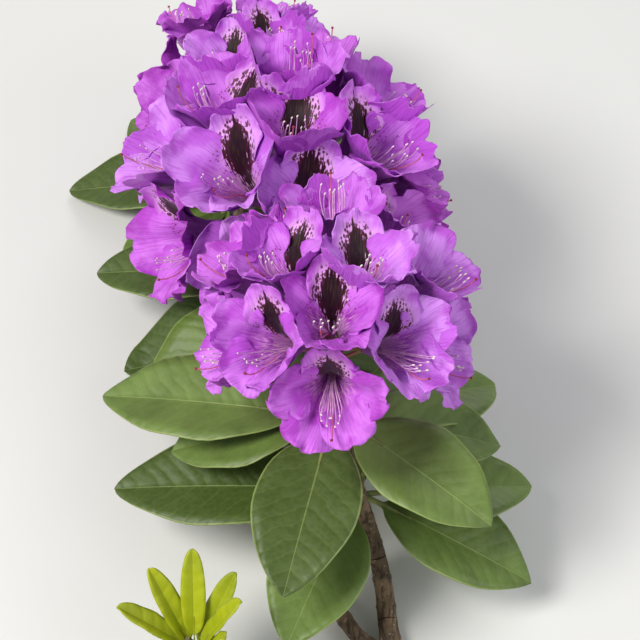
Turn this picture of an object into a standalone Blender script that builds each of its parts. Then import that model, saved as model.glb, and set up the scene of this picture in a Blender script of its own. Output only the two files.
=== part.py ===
"""A flowering branch of a purple rhododendron, cut from the shrub and laid down.

One main stem carries three shoots. Each shoot ends in a whorl of leaves under a round truss of
wide funnel blooms, and a short young shoot grows out at one side. Metres, +Z up, floor at Z = 0.
"""

import math

import bmesh
import bpy
from mathutils import Matrix, Vector
from mathutils.bvhtree import BVHTree
from mathutils.geometry import interpolate_bezier

CM = 0.01
GAP = 0.0003  # clear space between pieces that touch
UP = Vector((0, 0, 1))
GOLDEN_ANGLE = math.radians(137.5)

# The stems, from the flat cut at the near end
CUT_RADIUS = 0.60 * CM
STALK_RADIUS = 0.24 * CM  # where a shoot ends inside its truss
PEDICEL_FOOT = 0.27 * CM  # from the stalk's middle line to the surface that pedicels leave
WHORL_DEPTH = 5.5  # centimetres from a truss's middle down to its whorl of leaves
SIDE_RADIUS = 0.42 * CM  # a side shoot where it leaves its parent
YOUNG_RADIUS = 0.27 * CM
ROUTE_STEPS = 4

# One bloom, measured along its own axis from the middle of its truss
BLOOM_SIDES = 20  # four points to each of the five lobes
TUBE_SIDES = 10
CALYX_REACH = 1.9 * CM
CALYX_RADIUS = 0.22 * CM
PEDICEL_RADIUS = 0.10 * CM
ROOT_TOP = 0.15 * CM  # where the topmost pedicel leaves the stalk, over the truss's middle
ROOT_DROP = 2.3 * CM  # how much lower the lowest one leaves it
THROAT_REACH = 3.9 * CM
THROAT_RADIUS = 0.85 * CM
THROAT_FLOOR = 2.3 * CM  # the bottom of the funnel, inside
LOBE_LENGTH = 2.9 * CM
PETAL_THICKNESS = 0.09 * CM
WALL_SLANT = 0.5  # how much less the radius of the front sheet is, by the thickness
FRONT_STRIPS = (4, 5)  # these strips of the front repeat the folds of the back, so the wall stays even
FLARE = math.radians(42)  # a lobe's slope: 0 would lie square to the bloom's line
UPPER_FLARE = math.radians(16)  # the upper lobe stands up by this, the lower ones lie back
RIM_BEND = math.radians(14)
LOBE_SHARES = (1.0, 0.94, 0.66, 0.94)  # rim reach at a lobe's tip, shoulder, notch and shoulder
DIVIDE_REACH = 4.9 * CM  # where two neighbours share the space between them evenly
TILE_TILT = 0.30  # a lower bloom's upper lobe lies outside the bloom above it
SIDE_TILT = 0.12
SQUEEZE_LIFT = 0.2  # a lobe with no room beside it stands up by this share of what it lacks
LOWEST_POLAR = 104  # degrees from a truss's axis to its lowest blooms
TURN_UP = 1.3 * CM  # how far down the stalk the axes of the lowest blooms meet it
FULL_REACH = 6.3 * CM  # what an open bloom needs in front of it

# One leaf
LEAF_LENGTH = 10.8 * CM
LEAF_WIDTH = 5.2 * CM
LEAF_THICKNESS = 0.12 * CM
PETIOLE_SHARE = 0.15
PETIOLE_WIDTH = 0.07  # by the blade's width
LEAF_SHARES = (0.0, 0.16, 0.34, 0.58, 0.82, 1.0)
LEAF_FOLD = math.radians(14)
LEAF_ARCH = 0.10  # how far the tip hangs under the line that the petiole starts on, by length
YOUNG_LENGTH = 5.8 * CM
YOUNG_WIDTH = 1.3 * CM


def material(name, colour, roughness):
    """A plain finish."""
    made = bpy.data.materials.new(name)
    made.use_nodes = True
    shader = made.node_tree.nodes["Principled BSDF"]
    shader.inputs["Base Color"].default_value = (*colour, 1)
    shader.inputs["Roughness"].default_value = roughness
    shader.inputs["Metallic"].default_value = 0
    return made


def smooth_route(corners):
    """Points along one smooth curve through the corners, given in centimetres."""
    corners = [Vector(corner) * CM for corner in corners]
    ends = [corners[0] * 2 - corners[1], *corners, corners[-1] * 2 - corners[-2]]
    route = []
    for before, start, end, after in zip(ends, ends[1:], ends[2:], ends[3:]):
        leave = start + (end - before) / 6
        arrive = end - (after - start) / 6
        route += interpolate_bezier(start, leave, arrive, end, ROUTE_STEPS + 1)[:-1]
    return route + [corners[-1]]


def tapered(route, thick, thin):
    """Each point of the route with the stem's radius there."""
    last = len(route) - 1
    return [(point, thick + (thin - thick) * i / last) for i, point in enumerate(route)]


def cut_stem(stem, *segments):
    """The stem in stretches, parted by a narrow gap in the middle of each named segment."""
    stretches = []
    begin = []
    start = 0
    for segment in segments:
        (low, low_radius), (high, high_radius) = stem[segment], stem[segment + 1]
        middle = (low + high) / 2
        step = (high - low).normalized() * GAP / 2
        radius = (low_radius + high_radius) / 2
        stretches.append(begin + stem[start : segment + 1] + [(middle - step, radius)])
        begin = [(middle + step, radius)]
        start = segment + 1
    return stretches + [begin + stem[start:]]


def side_start(stem, index, heading, radius):
    """Where a side shoot starts, with its end face just clear of the stem that carries it."""
    point, parent_radius = stem[index]
    along = (stem[index + 1][0] - stem[index - 1][0]).normalized()
    heading = Vector(heading).normalized()
    slant = abs(along.dot(heading))
    distance = (parent_radius + GAP + radius * slant) / math.sqrt(1 - slant * slant)
    return [(point + heading * distance) / CM, (point + heading * (distance + 1.2 * CM)) / CM]


def limb(name, stem, finish, collection):
    """One tapering round limb along a route of (point, radius)."""
    curve = bpy.data.curves.new(name, "CURVE")
    curve.dimensions = "3D"
    curve.bevel_depth = stem[0][1]
    curve.bevel_resolution = 2
    curve.use_fill_caps = True
    spline = curve.splines.new("POLY")
    spline.points.add(len(stem) - 1)
    for target, (point, radius) in zip(spline.points, stem):
        target.co = (*point, 1)
        target.radius = radius / stem[0][1]
    curve.materials.append(finish)
    made = bpy.data.objects.new(name, curve)
    collection.objects.link(made)
    return made


def mesh_of(source):
    """A closed mesh of the object as it is seen, in world space."""
    bpy.context.view_layer.update()
    evaluated = source.evaluated_get(bpy.context.evaluated_depsgraph_get())
    mesh = bpy.data.meshes.new_from_object(evaluated)
    mesh.transform(source.matrix_world)
    work = bmesh.new()
    work.from_mesh(mesh)
    bmesh.ops.remove_doubles(work, verts=work.verts, dist=1e-6)
    work.to_mesh(mesh)
    work.free()
    return mesh


class Bloom:
    """Where one bloom stands in its truss, and the line that it faces along."""

    def __init__(self, place, axis, size):
        share = (1 - place.dot(axis)) / (1 - math.cos(math.radians(LOWEST_POLAR)))
        throat = place * THROAT_REACH * size
        self.place = place
        self.share = share
        self.foot = -axis * TURN_UP * share * size
        self.facing = (throat - self.foot).normalized()
        self.throat = (throat - self.foot).length
        self.upper = (axis - self.facing * axis.dot(self.facing)).normalized()
        self.side = self.facing.cross(self.upper)

    def along(self, reach):
        """The point of the bloom's own line at this reach."""
        return self.foot + self.facing * reach

    def across(self, turn):
        """A direction square to the bloom's line, turned from its upper lobe."""
        return self.upper * math.cos(turn) + self.side * math.sin(turn)


class Truss:
    """A round head of blooms: its middle, its axis and its blooms."""

    def __init__(self, name, middle, lean, size, seen, count):
        self.name = name
        self.middle = Vector(middle) * CM
        self.axis = Matrix.Rotation(math.radians(-lean), 3, "X") @ UP
        self.size = size
        self.front = Vector((1, 0, 0)).cross(self.axis)
        places = self.fill([self.direction(*angles) for angles in seen], count)
        self.blooms = [Bloom(place, self.axis, size) for place in places]

    def direction(self, polar, azimuth):
        """A unit vector, by degrees from the axis and degrees round it from the near side."""
        polar = math.radians(polar)
        azimuth = math.radians(azimuth)
        across = self.front * math.cos(azimuth) + Vector((1, 0, 0)) * math.sin(azimuth)
        return (self.axis * math.cos(polar) + across * math.sin(polar)).normalized()

    def stalk(self):
        """The last corners of the shoot that carries the truss: straight up its axis."""
        return [self.middle / CM - self.axis * depth for depth in (WHORL_DEPTH, 2.6, -0.35)]

    def fill(self, places, count):
        """Adds places on the hidden sides, each where the truss is emptiest."""
        lowest = math.cos(math.radians(LOWEST_POLAR))
        spots = []
        for i in range(400):
            height = 1 - (1 - lowest) * (i + 0.5) / 400
            azimuth = math.degrees(i * GOLDEN_ANGLE)
            spots.append(self.direction(math.degrees(math.acos(height)), azimuth))
        while len(places) < count:
            places.append(max(spots, key=lambda spot: min(spot.angle(p) for p in places)))
        return places

    def borders(self, bloom, others):
        """Half spaces (outward normal, distance) round the bloom: its own cell in the truss."""
        found = []
        for other in self.blooms:
            if other is bloom:
                continue
            between = (bloom.place + other.place).normalized()
            apart = (other.place - bloom.place).normalized()
            tilt = TILE_TILT * apart.dot(self.axis)
            tilt += SIDE_TILT * bloom.place.cross(other.place).normalized().dot(self.axis)
            normal = (apart - between * tilt).normalized()
            reach = DIVIDE_REACH * self.size
            found.append((normal, normal.dot(between) * reach - GAP / 2))
        for other in others:
            step = other.middle - self.middle
            share = self.size / (self.size + other.size)
            found.append((step.normalized(), step.length * share - GAP / 2))
        return found


def bloom_size(truss, bloom, borders):
    """The bloom's scale: less where it points at the next truss and is pressed short."""
    ahead = [
        (limit - normal.dot(bloom.foot)) / normal.dot(bloom.facing)
        for normal, limit in borders
        if normal.dot(bloom.facing) > 0.05
    ]
    return min([truss.size] + [reach / FULL_REACH for reach in ahead])


def bloom_rings(truss, bloom, borders, root):
    """The rings of one bloom, from its root on the stalk over the rim into the throat."""
    size = bloom_size(truss, bloom, borders)
    throat = bloom.throat * size / truss.size

    def ring(sides, reach, radius):
        turns = [2 * math.pi * i / sides for i in range(sides)]
        return [bloom.along(reach) + bloom.across(turn) * radius for turn in turns]

    def room(reach, outward):
        free = [
            (limit - normal.dot(bloom.along(reach))) / normal.dot(outward)
            for normal, limit in borders
            if normal.dot(outward) > 0.05
        ]
        return min(free, default=1)

    def limb_place(i, share):
        """Reach and radius of one point of the limb, kept within its room."""
        outward = bloom.across(2 * math.pi * i / BLOOM_SIDES)
        flare = FLARE + UPPER_FLARE * outward.dot(bloom.upper) - RIM_BEND * (share - 0.5)
        length = LOBE_LENGTH * LOBE_SHARES[i % 4] * share * size
        radius = THROAT_RADIUS * size + length * math.cos(flare)
        reach = throat + length * math.sin(flare)
        reach += max(radius - room(reach, outward), 0) * SQUEEZE_LIFT
        return reach, min(radius, room(reach, outward))

    def limb_ring(share, lift):
        points = []
        for i in range(BLOOM_SIDES):
            outward = bloom.across(2 * math.pi * i / BLOOM_SIDES)
            reach, radius = limb_place(i, share)
            radius = min(radius - lift * WALL_SLANT, room(reach + lift, outward))
            points.append(bloom.along(reach + lift) + outward * radius)
        return points

    heading = (bloom.along(CALYX_REACH * size) - root).normalized()
    level = bloom.facing.rotation_difference(heading).to_matrix()
    foot = [level @ bloom.across(2 * math.pi * i / TUBE_SIDES) for i in range(TUBE_SIDES)]
    return [
        [root + outward * PEDICEL_RADIUS for outward in foot],
        ring(TUBE_SIDES, CALYX_REACH * size, CALYX_RADIUS),
        ring(BLOOM_SIDES, throat, THROAT_RADIUS * size),
        limb_ring(0.5, 0),
        limb_ring(1.0, 0),
        limb_ring(0.5, PETAL_THICKNESS),
        ring(BLOOM_SIDES, throat, THROAT_RADIUS * size - PETAL_THICKNESS),
        [bloom.along(THROAT_FLOOR * size)],
    ]


def join_rings(work, low, high, turned=False):
    """Faces between two rings, where the second may have twice the points or be one point."""
    count = len(low)
    times = len(high) // count
    for i in range(count):
        j = (i + 1) % count
        if len(high) == 1:
            work.faces.new((low[i], low[j], high[0]))
        elif times == 2:
            work.faces.new((low[i], low[j], high[2 * j], high[2 * i + 1], high[2 * i]))
        elif turned:
            work.faces.new((low[i], low[j], high[i]))
            work.faces.new((low[j], high[j], high[i]))
        else:
            work.faces.new((low[i], low[j], high[j]))
            work.faces.new((low[i], high[j], high[i]))


def bloom_object(name, truss, bloom, borders, finish, collection):
    """One bloom: pedicel, funnel and five-lobed limb in one closed solid."""
    sideways = (bloom.place - truss.axis * truss.axis.dot(bloom.place)).normalized()
    root = truss.axis * (ROOT_TOP - ROOT_DROP * bloom.share)
    root += sideways * (PEDICEL_FOOT + PEDICEL_RADIUS)
    work = bmesh.new()
    rings = [
        [work.verts.new(point) for point in ring]
        for ring in bloom_rings(truss, bloom, borders, root)
    ]
    work.faces.new(reversed(rings[0]))
    for i, (low, high) in enumerate(zip(rings, rings[1:])):
        join_rings(work, low, high, turned=i in FRONT_STRIPS)
    bmesh.ops.triangulate(work, faces=work.faces)
    mesh = bpy.data.meshes.new(name)
    work.to_mesh(mesh)
    work.free()
    mesh.materials.append(finish)
    mesh.shade_smooth()
    made = bpy.data.objects.new(name, mesh)
    made.location = truss.middle
    collection.objects.link(made)
    return made


def blade_share(share):
    """Half the blade's width at a share of the leaf's length, as a share of its widest."""
    if share <= PETIOLE_SHARE:
        return 0
    blade = (share - PETIOLE_SHARE) / (1 - PETIOLE_SHARE)
    return math.sin(math.pi * blade**0.92) ** 0.75


def leaf_mesh(root, heading, length, width, arch, fold, rest, swell=0):
    """One closed leaf with its petiole, arching down to its tip and laid on the floor where it meets it."""
    heading = Vector(heading).normalized()
    side = heading.cross(UP).normalized()
    work = bmesh.new()
    sections = []
    for share in LEAF_SHARES:
        point = root + heading * length * share - UP * arch * length * share * share
        point.z = max(point.z, rest)
        tangent = (heading - UP * arch * 2 * share).normalized()
        normal = side.cross(tangent)
        half = width / 2 * max(blade_share(share), PETIOLE_WIDTH * (1.05 - share))
        edge = side * half * math.cos(fold) + normal * half * math.sin(fold)
        other = -side * half * math.cos(fold) + normal * half * math.sin(fold)
        thick = normal * (LEAF_THICKNESS / 2 + swell)
        points = [edge - thick, -thick, other - thick, other + thick, thick, edge + thick]
        sections.append([work.verts.new(point + offset) for offset in points])
    work.faces.new(reversed(sections[0]))
    work.faces.new(sections[-1])
    for low, high in zip(sections, sections[1:]):
        join_rings(work, low, high)
    bmesh.ops.triangulate(work, faces=work.faces)
    mesh = bpy.data.meshes.new("leaf")
    work.to_mesh(mesh)
    work.free()
    return mesh


def tree_of(mesh):
    """The mesh as a search tree for touching."""
    mesh.calc_loop_triangles()
    corners = [vertex.co for vertex in mesh.vertices]
    return BVHTree.FromPolygons(corners, [t.vertices for t in mesh.loop_triangles])


def clear_leaf(root, heading, length, width, arch, fold, rest, solids):
    """The leaf, lowered and then shortened until it touches none of the solids, or None."""
    for scale in (1.0, 0.86, 0.74, 0.62):
        for sink in (0.0, 0.22, 0.45, -0.22, 0.7):
            aim = Vector(heading).normalized() - UP * sink
            shape = (root, aim, length * scale, width * scale, arch, fold, rest)
            tester = leaf_mesh(*shape, swell=0.0006)
            touches = any(tree_of(tester).overlap(solid) for solid in solids)
            bpy.data.meshes.remove(tester)
            if not touches:
                return leaf_mesh(*shape)
    return None


def outer_shell(mesh):
    """Keeps the largest shell of the mesh, and so fills hollows and drops loose scraps."""
    work = bmesh.new()
    work.from_mesh(mesh)
    work.verts.ensure_lookup_table()
    unseen = set(work.verts)
    shells = []
    while unseen:
        shell = {unseen.pop()}
        edge = list(shell)
        while edge:
            near = {e.other_vert(v) for v in edge for e in v.link_edges} - shell
            shell |= near
            edge = list(near)
        unseen -= shell
        shells.append(shell)
    largest = max(shells, key=len)
    bmesh.ops.delete(work, geom=[v for v in work.verts if v not in largest], context="VERTS")
    bmesh.ops.triangulate(work, faces=work.faces)
    work.to_mesh(mesh)
    work.free()


def leaf_mass(core, leaves, solids, finish, collection):
    """A leafy stretch of stem: its leaves are fused on, and one that would touch a solid is skipped."""
    name = core.name
    stem = mesh_of(core)
    bpy.data.objects.remove(core)
    made = bpy.data.objects.new(name, stem)
    collection.objects.link(made)
    fused = bpy.data.collections.new(name + "_leaves")
    bpy.context.scene.collection.children.link(fused)
    for shape in leaves:
        mesh = clear_leaf(*shape, solids)
        if mesh:
            fused.objects.link(bpy.data.objects.new("leaf", mesh))
    union = made.modifiers.new("fuse", "BOOLEAN")
    union.operation = "UNION"
    union.operand_type = "COLLECTION"
    union.collection = fused
    union.solver = "EXACT"
    whole = mesh_of(made)
    made.modifiers.clear()
    made.data = whole
    for leaf in list(fused.objects):
        bpy.data.objects.remove(leaf)
    bpy.data.collections.remove(fused)
    outer_shell(whole)
    whole.materials.clear()
    whole.materials.append(finish)
    return made


def whorl(stem, axis, seen, count, length, width, lowered, open_side=0):
    """Leaves round the top of a stem: those that are seen by their angles, the rest in the gaps.

    No leaf is added within open_side degrees of the near side.
    """
    middle = stem[-2][0]
    front = Vector((1, 0, 0)).cross(axis)
    turns = [math.radians(turn) for turn, *_ in seen]
    spots = [math.radians(turn) for turn in range(-180, 180, 5) if abs(turn) >= open_side]
    shapes = list(seen)
    while len(shapes) < count:
        emptiest = max(spots, key=lambda spot: min(1 - math.cos(spot - turn) for turn in turns))
        turns.append(emptiest)
        shapes.append((math.degrees(emptiest), lowered + 6 * (len(shapes) % 3), 0.92))
    leaves = []
    for i, (turn, droop, share) in enumerate(shapes):
        turn = math.radians(turn)
        droop = math.radians(droop)
        across = front * math.cos(turn) + Vector((1, 0, 0)) * math.sin(turn)
        level = Vector((across.x, across.y, 0)).normalized()
        heading = level * math.cos(droop) - UP * math.sin(droop)
        root = middle - axis * i * 0.12 * CM
        rest = LEAF_THICKNESS * (1 + 0.13 * i)
        broad = width * (1 + share) / 2
        leaves.append((root, heading, length * share, broad, LEAF_ARCH, LEAF_FOLD, rest))
    return leaves


def centre_on_floor(collection):
    """Moves everything so that the origin is the middle of the bottom of the whole box."""
    bpy.context.view_layer.update()
    corners = [
        made.matrix_world @ Vector(corner)
        for made in collection.objects
        for corner in made.bound_box
    ]
    low = Vector(min(corner[i] for corner in corners) for i in range(3))
    high = Vector(max(corner[i] for corner in corners) for i in range(3))
    shift = Vector(((low.x + high.x) / 2, (low.y + high.y) / 2, low.z))
    for made in collection.objects:
        made.location -= shift
    print("box", [round(side * 1000, 1) for side in high - low], "shift", shift / CM)


def main():
    for old in list(bpy.data.objects):
        bpy.data.objects.remove(old)
    branch = bpy.data.collections.new("rhododendron_branch")
    bpy.context.scene.collection.children.link(branch)
    bark = material("bark", (0.20, 0.13, 0.08), 0.85)
    green = material("leaf", (0.07, 0.17, 0.04), 0.5)
    fresh = material("young_leaf", (0.42, 0.55, 0.08), 0.6)
    violet = material("petal", (0.52, 0.20, 0.66), 0.6)

    front = Truss(
        "front",
        (0, 0, 14.5),
        10,
        1.0,
        ((99, -3), (77, -41), (79, 40), (53, -4), (37, -68), (29, 36), (66, -104), (103, -78), (68, 92)),
        16,
    )
    middle = Truss(
        "middle",
        (-2.4, 11.9, 10.7),
        10,
        1.28,
        ((57, -31), (32, 12), (59, 68), (66, 14), (103, -56), (35, -83), (78, -90), (42, 157)),
        18,
    )
    back = Truss("back", (-5.0, 23.2, 6.6), 20, 0.97, ((34, 44), (52, -9), (92, -51)), 12)

    main_route = tapered(
        smooth_route(
            [
                (3.4, -15.5, 0.62),
                (3.0, -11.5, 0.62),
                (2.6, -7.6, 0.72),
                (2.2, -4.9, 2.0),
                (1.1, -2.7, 5.2),
                *front.stalk(),
            ]
        ),
        CUT_RADIUS,
        STALK_RADIUS,
    )
    main_stem, front_shoot, lower_stem, front_stem, front_stalk = cut_stem(main_route, 8, 12, 16, 20)
    middle_start = side_start(main_route, 6, (-0.75, 0.65, 0.10), SIDE_RADIUS)
    middle_route = tapered(
        smooth_route(
            [
                *middle_start,
                (-0.8, -4.6, 1.0),
                (-1.8, 0.5, 1.2),
                (-2.2, 6.0, 2.2),
                *middle.stalk(),
            ]
        ),
        SIDE_RADIUS,
        STALK_RADIUS,
    )
    middle_shoot, middle_stem, middle_stalk = cut_stem(middle_route, 16, 20)
    back_start = side_start(middle_route, 9, (-0.8, 0.6, -0.02), SIDE_RADIUS * 0.85)
    back_route = tapered(
        smooth_route(
            [
                *back_start,
                (-4.6, 4.2, 0.8),
                (-5.4, 12.0, 0.7),
                (-5.4, 18.0, 0.7),
                *back.stalk(),
            ]
        ),
        SIDE_RADIUS * 0.85,
        STALK_RADIUS,
    )
    back_shoot, back_stem, back_stalk = cut_stem(back_route, 16, 20)
    young_start = side_start(main_route, 4, (-0.95, 0.25, 0.12), YOUNG_RADIUS)
    young_route = tapered(
        smooth_route([*young_start, (-2.2, -10.9, 1.3), (-5.2, -10.6, 2.2), (-6.7, -10.2, 4.2)]),
        YOUNG_RADIUS,
        YOUNG_RADIUS * 0.7,
    )
    young_shoot, young_stem = cut_stem(young_route, 12)

    stems = {
        "main_stem": main_stem,
        "front_shoot": front_shoot,
        "middle_shoot": middle_shoot,
        "back_shoot": back_shoot,
        "young_shoot": young_shoot,
        "front_truss_stalk": front_stalk,
        "middle_truss_stalk": middle_stalk,
        "back_truss_stalk": back_stalk,
    }
    for name, stem in stems.items():
        limb(name, stem, bark, branch)

    trusses = (front, middle, back)
    neighbours = {"front": (middle,), "middle": (front, back), "back": (middle,)}
    for truss in trusses:
        for number, bloom in enumerate(truss.blooms, 1):
            borders = truss.borders(bloom, neighbours[truss.name])
            name = f"{truss.name}_bloom_{number:02d}"
            bloom_object(name, truss, bloom, borders, violet, branch)

    seen_low = ((-93, -2, 1.08), (-22, -2, 0.80), (68, 11, 0.84), (99, 2, 0.80), (168, 14, 0.95))
    seen_front = (
        (-13, -3, 0.92),
        (49, -3, 0.85),
        (92, 26, 0.76),
        (-90, 26, 0.74),
        (-103, 2, 1.06),
        (-139, 5, 0.93),
        (123, 16, 0.93),
    )
    full = (LEAF_LENGTH, LEAF_WIDTH)
    whorls = {
        "lower_leaves": (lower_stem, front.axis, seen_low, 5, *full, 16),
        "front_leaves": (front_stem, front.axis, seen_front, 9, *full, 26, 110),
        "middle_leaves": (middle_stem, middle.axis, ((-97, 2, 0.95),), 9, *full, 12),
        "back_leaves": (back_stem, back.axis, ((-92, 0, 0.95),), 9, *full, 4),
        "young_leaves": (young_stem, UP, ((0, -60, 1.0),), 8, YOUNG_LENGTH, YOUNG_WIDTH, -66),
    }
    cores = {name: limb(name, shape[0], bark, branch) for name, shape in whorls.items()}
    solids = {made.name: tree_of(mesh_of(made)) for made in branch.objects}
    for name, shape in whorls.items():
        others = [tree for other, tree in solids.items() if other != name]
        finish = fresh if name == "young_leaves" else green
        made = leaf_mass(cores[name], whorl(*shape), others, finish, branch)
        solids[name] = tree_of(made.data)
    centre_on_floor(branch)


main()
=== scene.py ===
# %% [markdown]
# # A cut rhododendron branch in flower
#
# The branch lies on a pale floor. Three shoots end in round trusses of violet blooms, each over a
# whorl of leathery leaves, and a short young shoot stands at one side. The solids give the place and
# reach of every part. This script gives each of them its fine shape and its finish. It follows the
# same rules as the solids, so a leaf here lies where its solid lies, and a bloom keeps the room of
# its solid.

# %% Load the frame
import math
import random

import bmesh
import bpy
import numpy as np
from mathutils import Matrix, Vector, noise
from mathutils.bvhtree import BVHTree
from mathutils.geometry import interpolate_bezier


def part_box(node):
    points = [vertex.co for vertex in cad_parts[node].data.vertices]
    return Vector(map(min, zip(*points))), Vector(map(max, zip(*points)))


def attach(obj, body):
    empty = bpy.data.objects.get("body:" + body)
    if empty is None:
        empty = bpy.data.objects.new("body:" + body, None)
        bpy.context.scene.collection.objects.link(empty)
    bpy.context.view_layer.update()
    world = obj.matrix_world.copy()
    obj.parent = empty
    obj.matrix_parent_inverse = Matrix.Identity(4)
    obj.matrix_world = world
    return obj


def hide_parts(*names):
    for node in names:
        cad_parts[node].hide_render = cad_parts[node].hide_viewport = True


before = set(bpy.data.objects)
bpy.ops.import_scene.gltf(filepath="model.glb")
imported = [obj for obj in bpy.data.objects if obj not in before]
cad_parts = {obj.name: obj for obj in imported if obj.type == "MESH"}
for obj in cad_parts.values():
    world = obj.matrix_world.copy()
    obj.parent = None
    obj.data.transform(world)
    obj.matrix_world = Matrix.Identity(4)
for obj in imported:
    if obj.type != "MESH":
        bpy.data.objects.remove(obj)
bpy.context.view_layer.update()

# %% [markdown]
# ## The sizes that the plant is worked out from
#
# A rhododendron shoot is a simple machine: a stem, a whorl of leaves where a year's growth ended, and
# a truss of blooms that leave the tip one by one. So a few sizes settle all of it. The sizes of
# blooms and leaves are in centimetres, and CM turns them to metres where a mesh is made.

# %% Sizes
CM = 0.01
GAP = 0.0003  # between one solid and the next
UP = Vector((0, 0, 1))
RIGHT = Vector((1, 0, 0))
GOLDEN_ANGLE = math.radians(137.5)

CUT_RADIUS = 0.60 * CM
STALK_RADIUS = 0.24 * CM
SIDE_RADIUS = 0.42 * CM
YOUNG_RADIUS = 0.27 * CM
WHORL_DEPTH = 5.5  # from a truss's middle down to the stem of its whorl
ROUTE_STEPS = 4

CALYX_REACH = 1.9  # from the middle of a truss to a calyx, a throat and the outermost petal
THROAT_REACH = 3.9
FULL_REACH = 6.3
CALYX_RADIUS = 0.22
ROOT_TOP = 0.15  # where the top bloom's stalk starts over the middle, and how far the lowest is under it
ROOT_DROP = 2.3
LOWEST_POLAR = 104  # degrees from the axis of a truss to its lowest bloom
DIVIDE_REACH = 4.9  # where a border between two blooms crosses the line halfway between them
TILE_TILT = 0.40  # how far that border leans, up the truss and sideways, and how far it is moved up
SIDE_TILT = 0.12
LAP = 1.15
TURN_UP = math.radians(19)  # how far an outer bloom faces up, and from which angle it does so in full
FULL_TURN = math.radians(42)

LEAF_LENGTH = 10.8
LEAF_WIDTH = 5.2
LEAF_THICKNESS = 0.12  # of the solids, which gives the height at which the leaves rest
PETIOLE_SHARE = 0.15  # of a leaf's length
PETIOLE_WIDTH = 0.07  # as a share of the leaf's width
LEAF_FOLD = math.radians(14)
LEAF_ARCH = 0.10  # how far the tip hangs, as a share of the leaf's length
YOUNG_LENGTH = 5.8
YOUNG_WIDTH = 1.3
print("leaves up to", LEAF_LENGTH, "cm long and", LEAF_WIDTH, "cm wide")

# %% [markdown]
# ## Where the stems run
#
# Each stem follows one smooth curve through a few corners. A chain of Bezier pieces with tangents
# taken from the neighbouring corners gives that curve without any fitting by hand.

# %% Smooth routes


def curve_through(points, steps):
    """Points along one smooth curve through the given ones, with so many steps in each stretch."""
    ends = [points[0] * 2 - points[1], *points, points[-1] * 2 - points[-2]]
    route = []
    for before, start, end, after in zip(ends, ends[1:], ends[2:], ends[3:]):
        leave = start + (end - before) / 6
        arrive = end - (after - start) / 6
        route += interpolate_bezier(start, leave, arrive, end, steps + 1)[:-1]
    return route + [points[-1]]


def smooth_route(corners):
    """The curve through corners that are given in centimetres."""
    return curve_through([Vector(corner) * CM for corner in corners], ROUTE_STEPS)


print("a route through three corners has", len(smooth_route([(0, 0, 0), (0, 0, 1), (0, 1, 2)])), "points")

# %% Stretches and side shoots
LEAD = 1.2 * CM  # how far a side shoot runs straight before its first corner


def tapered(route, thick, thin):
    """Each point of the route with the stem's radius there."""
    last = len(route) - 1
    return [(point, thick + (thin - thick) * i / last) for i, point in enumerate(route)]


def cut_stem(stem, *segments):
    """The stem in stretches, parted by a narrow gap in the middle of each named segment."""
    stretches = []
    begin = []
    start = 0
    for segment in segments:
        (low, low_radius), (high, high_radius) = stem[segment], stem[segment + 1]
        middle = (low + high) / 2
        step = (high - low).normalized() * GAP / 2
        radius = (low_radius + high_radius) / 2
        stretches.append(begin + stem[start : segment + 1] + [(middle - step, radius)])
        begin = [(middle + step, radius)]
        start = segment + 1
    return stretches + [begin + stem[start:]]


def side_start(stem, index, heading, radius):
    """Where a side shoot starts, with its end face just clear of the stem that carries it."""
    point, parent_radius = stem[index]
    along = (stem[index + 1][0] - stem[index - 1][0]).normalized()
    heading = Vector(heading).normalized()
    slant = abs(along.dot(heading))
    distance = (parent_radius + GAP + radius * slant) / math.sqrt(1 - slant * slant)
    return [(point + heading * distance) / CM, (point + heading * (distance + LEAD)) / CM]


# %% [markdown]
# ## Where the blooms stand
#
# A truss is a ball of blooms. The ones that the picture shows stand at their own angles, and the far
# side is filled by putting each next bloom where the ball is emptiest. Half spaces between
# neighbours give every bloom its own room. The outer blooms turn their faces up, as real ones do,
# and the borders lean with them, so a lower bloom's upper lobe stands over its neighbour's foot.

# %% Trusses and blooms
SPOTS = 400  # places on the ball of blooms that are tried for a hidden one
LEAST_LEAN = 0.05  # a border that leans less than this runs beside a bloom and doesn't stop it


class Bloom:
    """Where one bloom stands in its truss, and the line that it faces along."""

    def __init__(self, place, axis, size, roll):
        self.place = place
        self.share = (1 - place.dot(axis)) / (1 - math.cos(math.radians(LOWEST_POLAR)))
        turn = TURN_UP * min(1, place.angle(axis) / FULL_TURN)
        self.facing = Matrix.Rotation(turn, 3, place.cross(axis)) @ place
        self.throat = THROAT_REACH * CM * size
        self.foot = (place - self.facing) * self.throat
        inward = (axis - self.facing * axis.dot(self.facing)).normalized()
        self.upper = Matrix.Rotation(-roll, 3, self.facing) @ inward
        self.side = self.upper.cross(self.facing)


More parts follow.
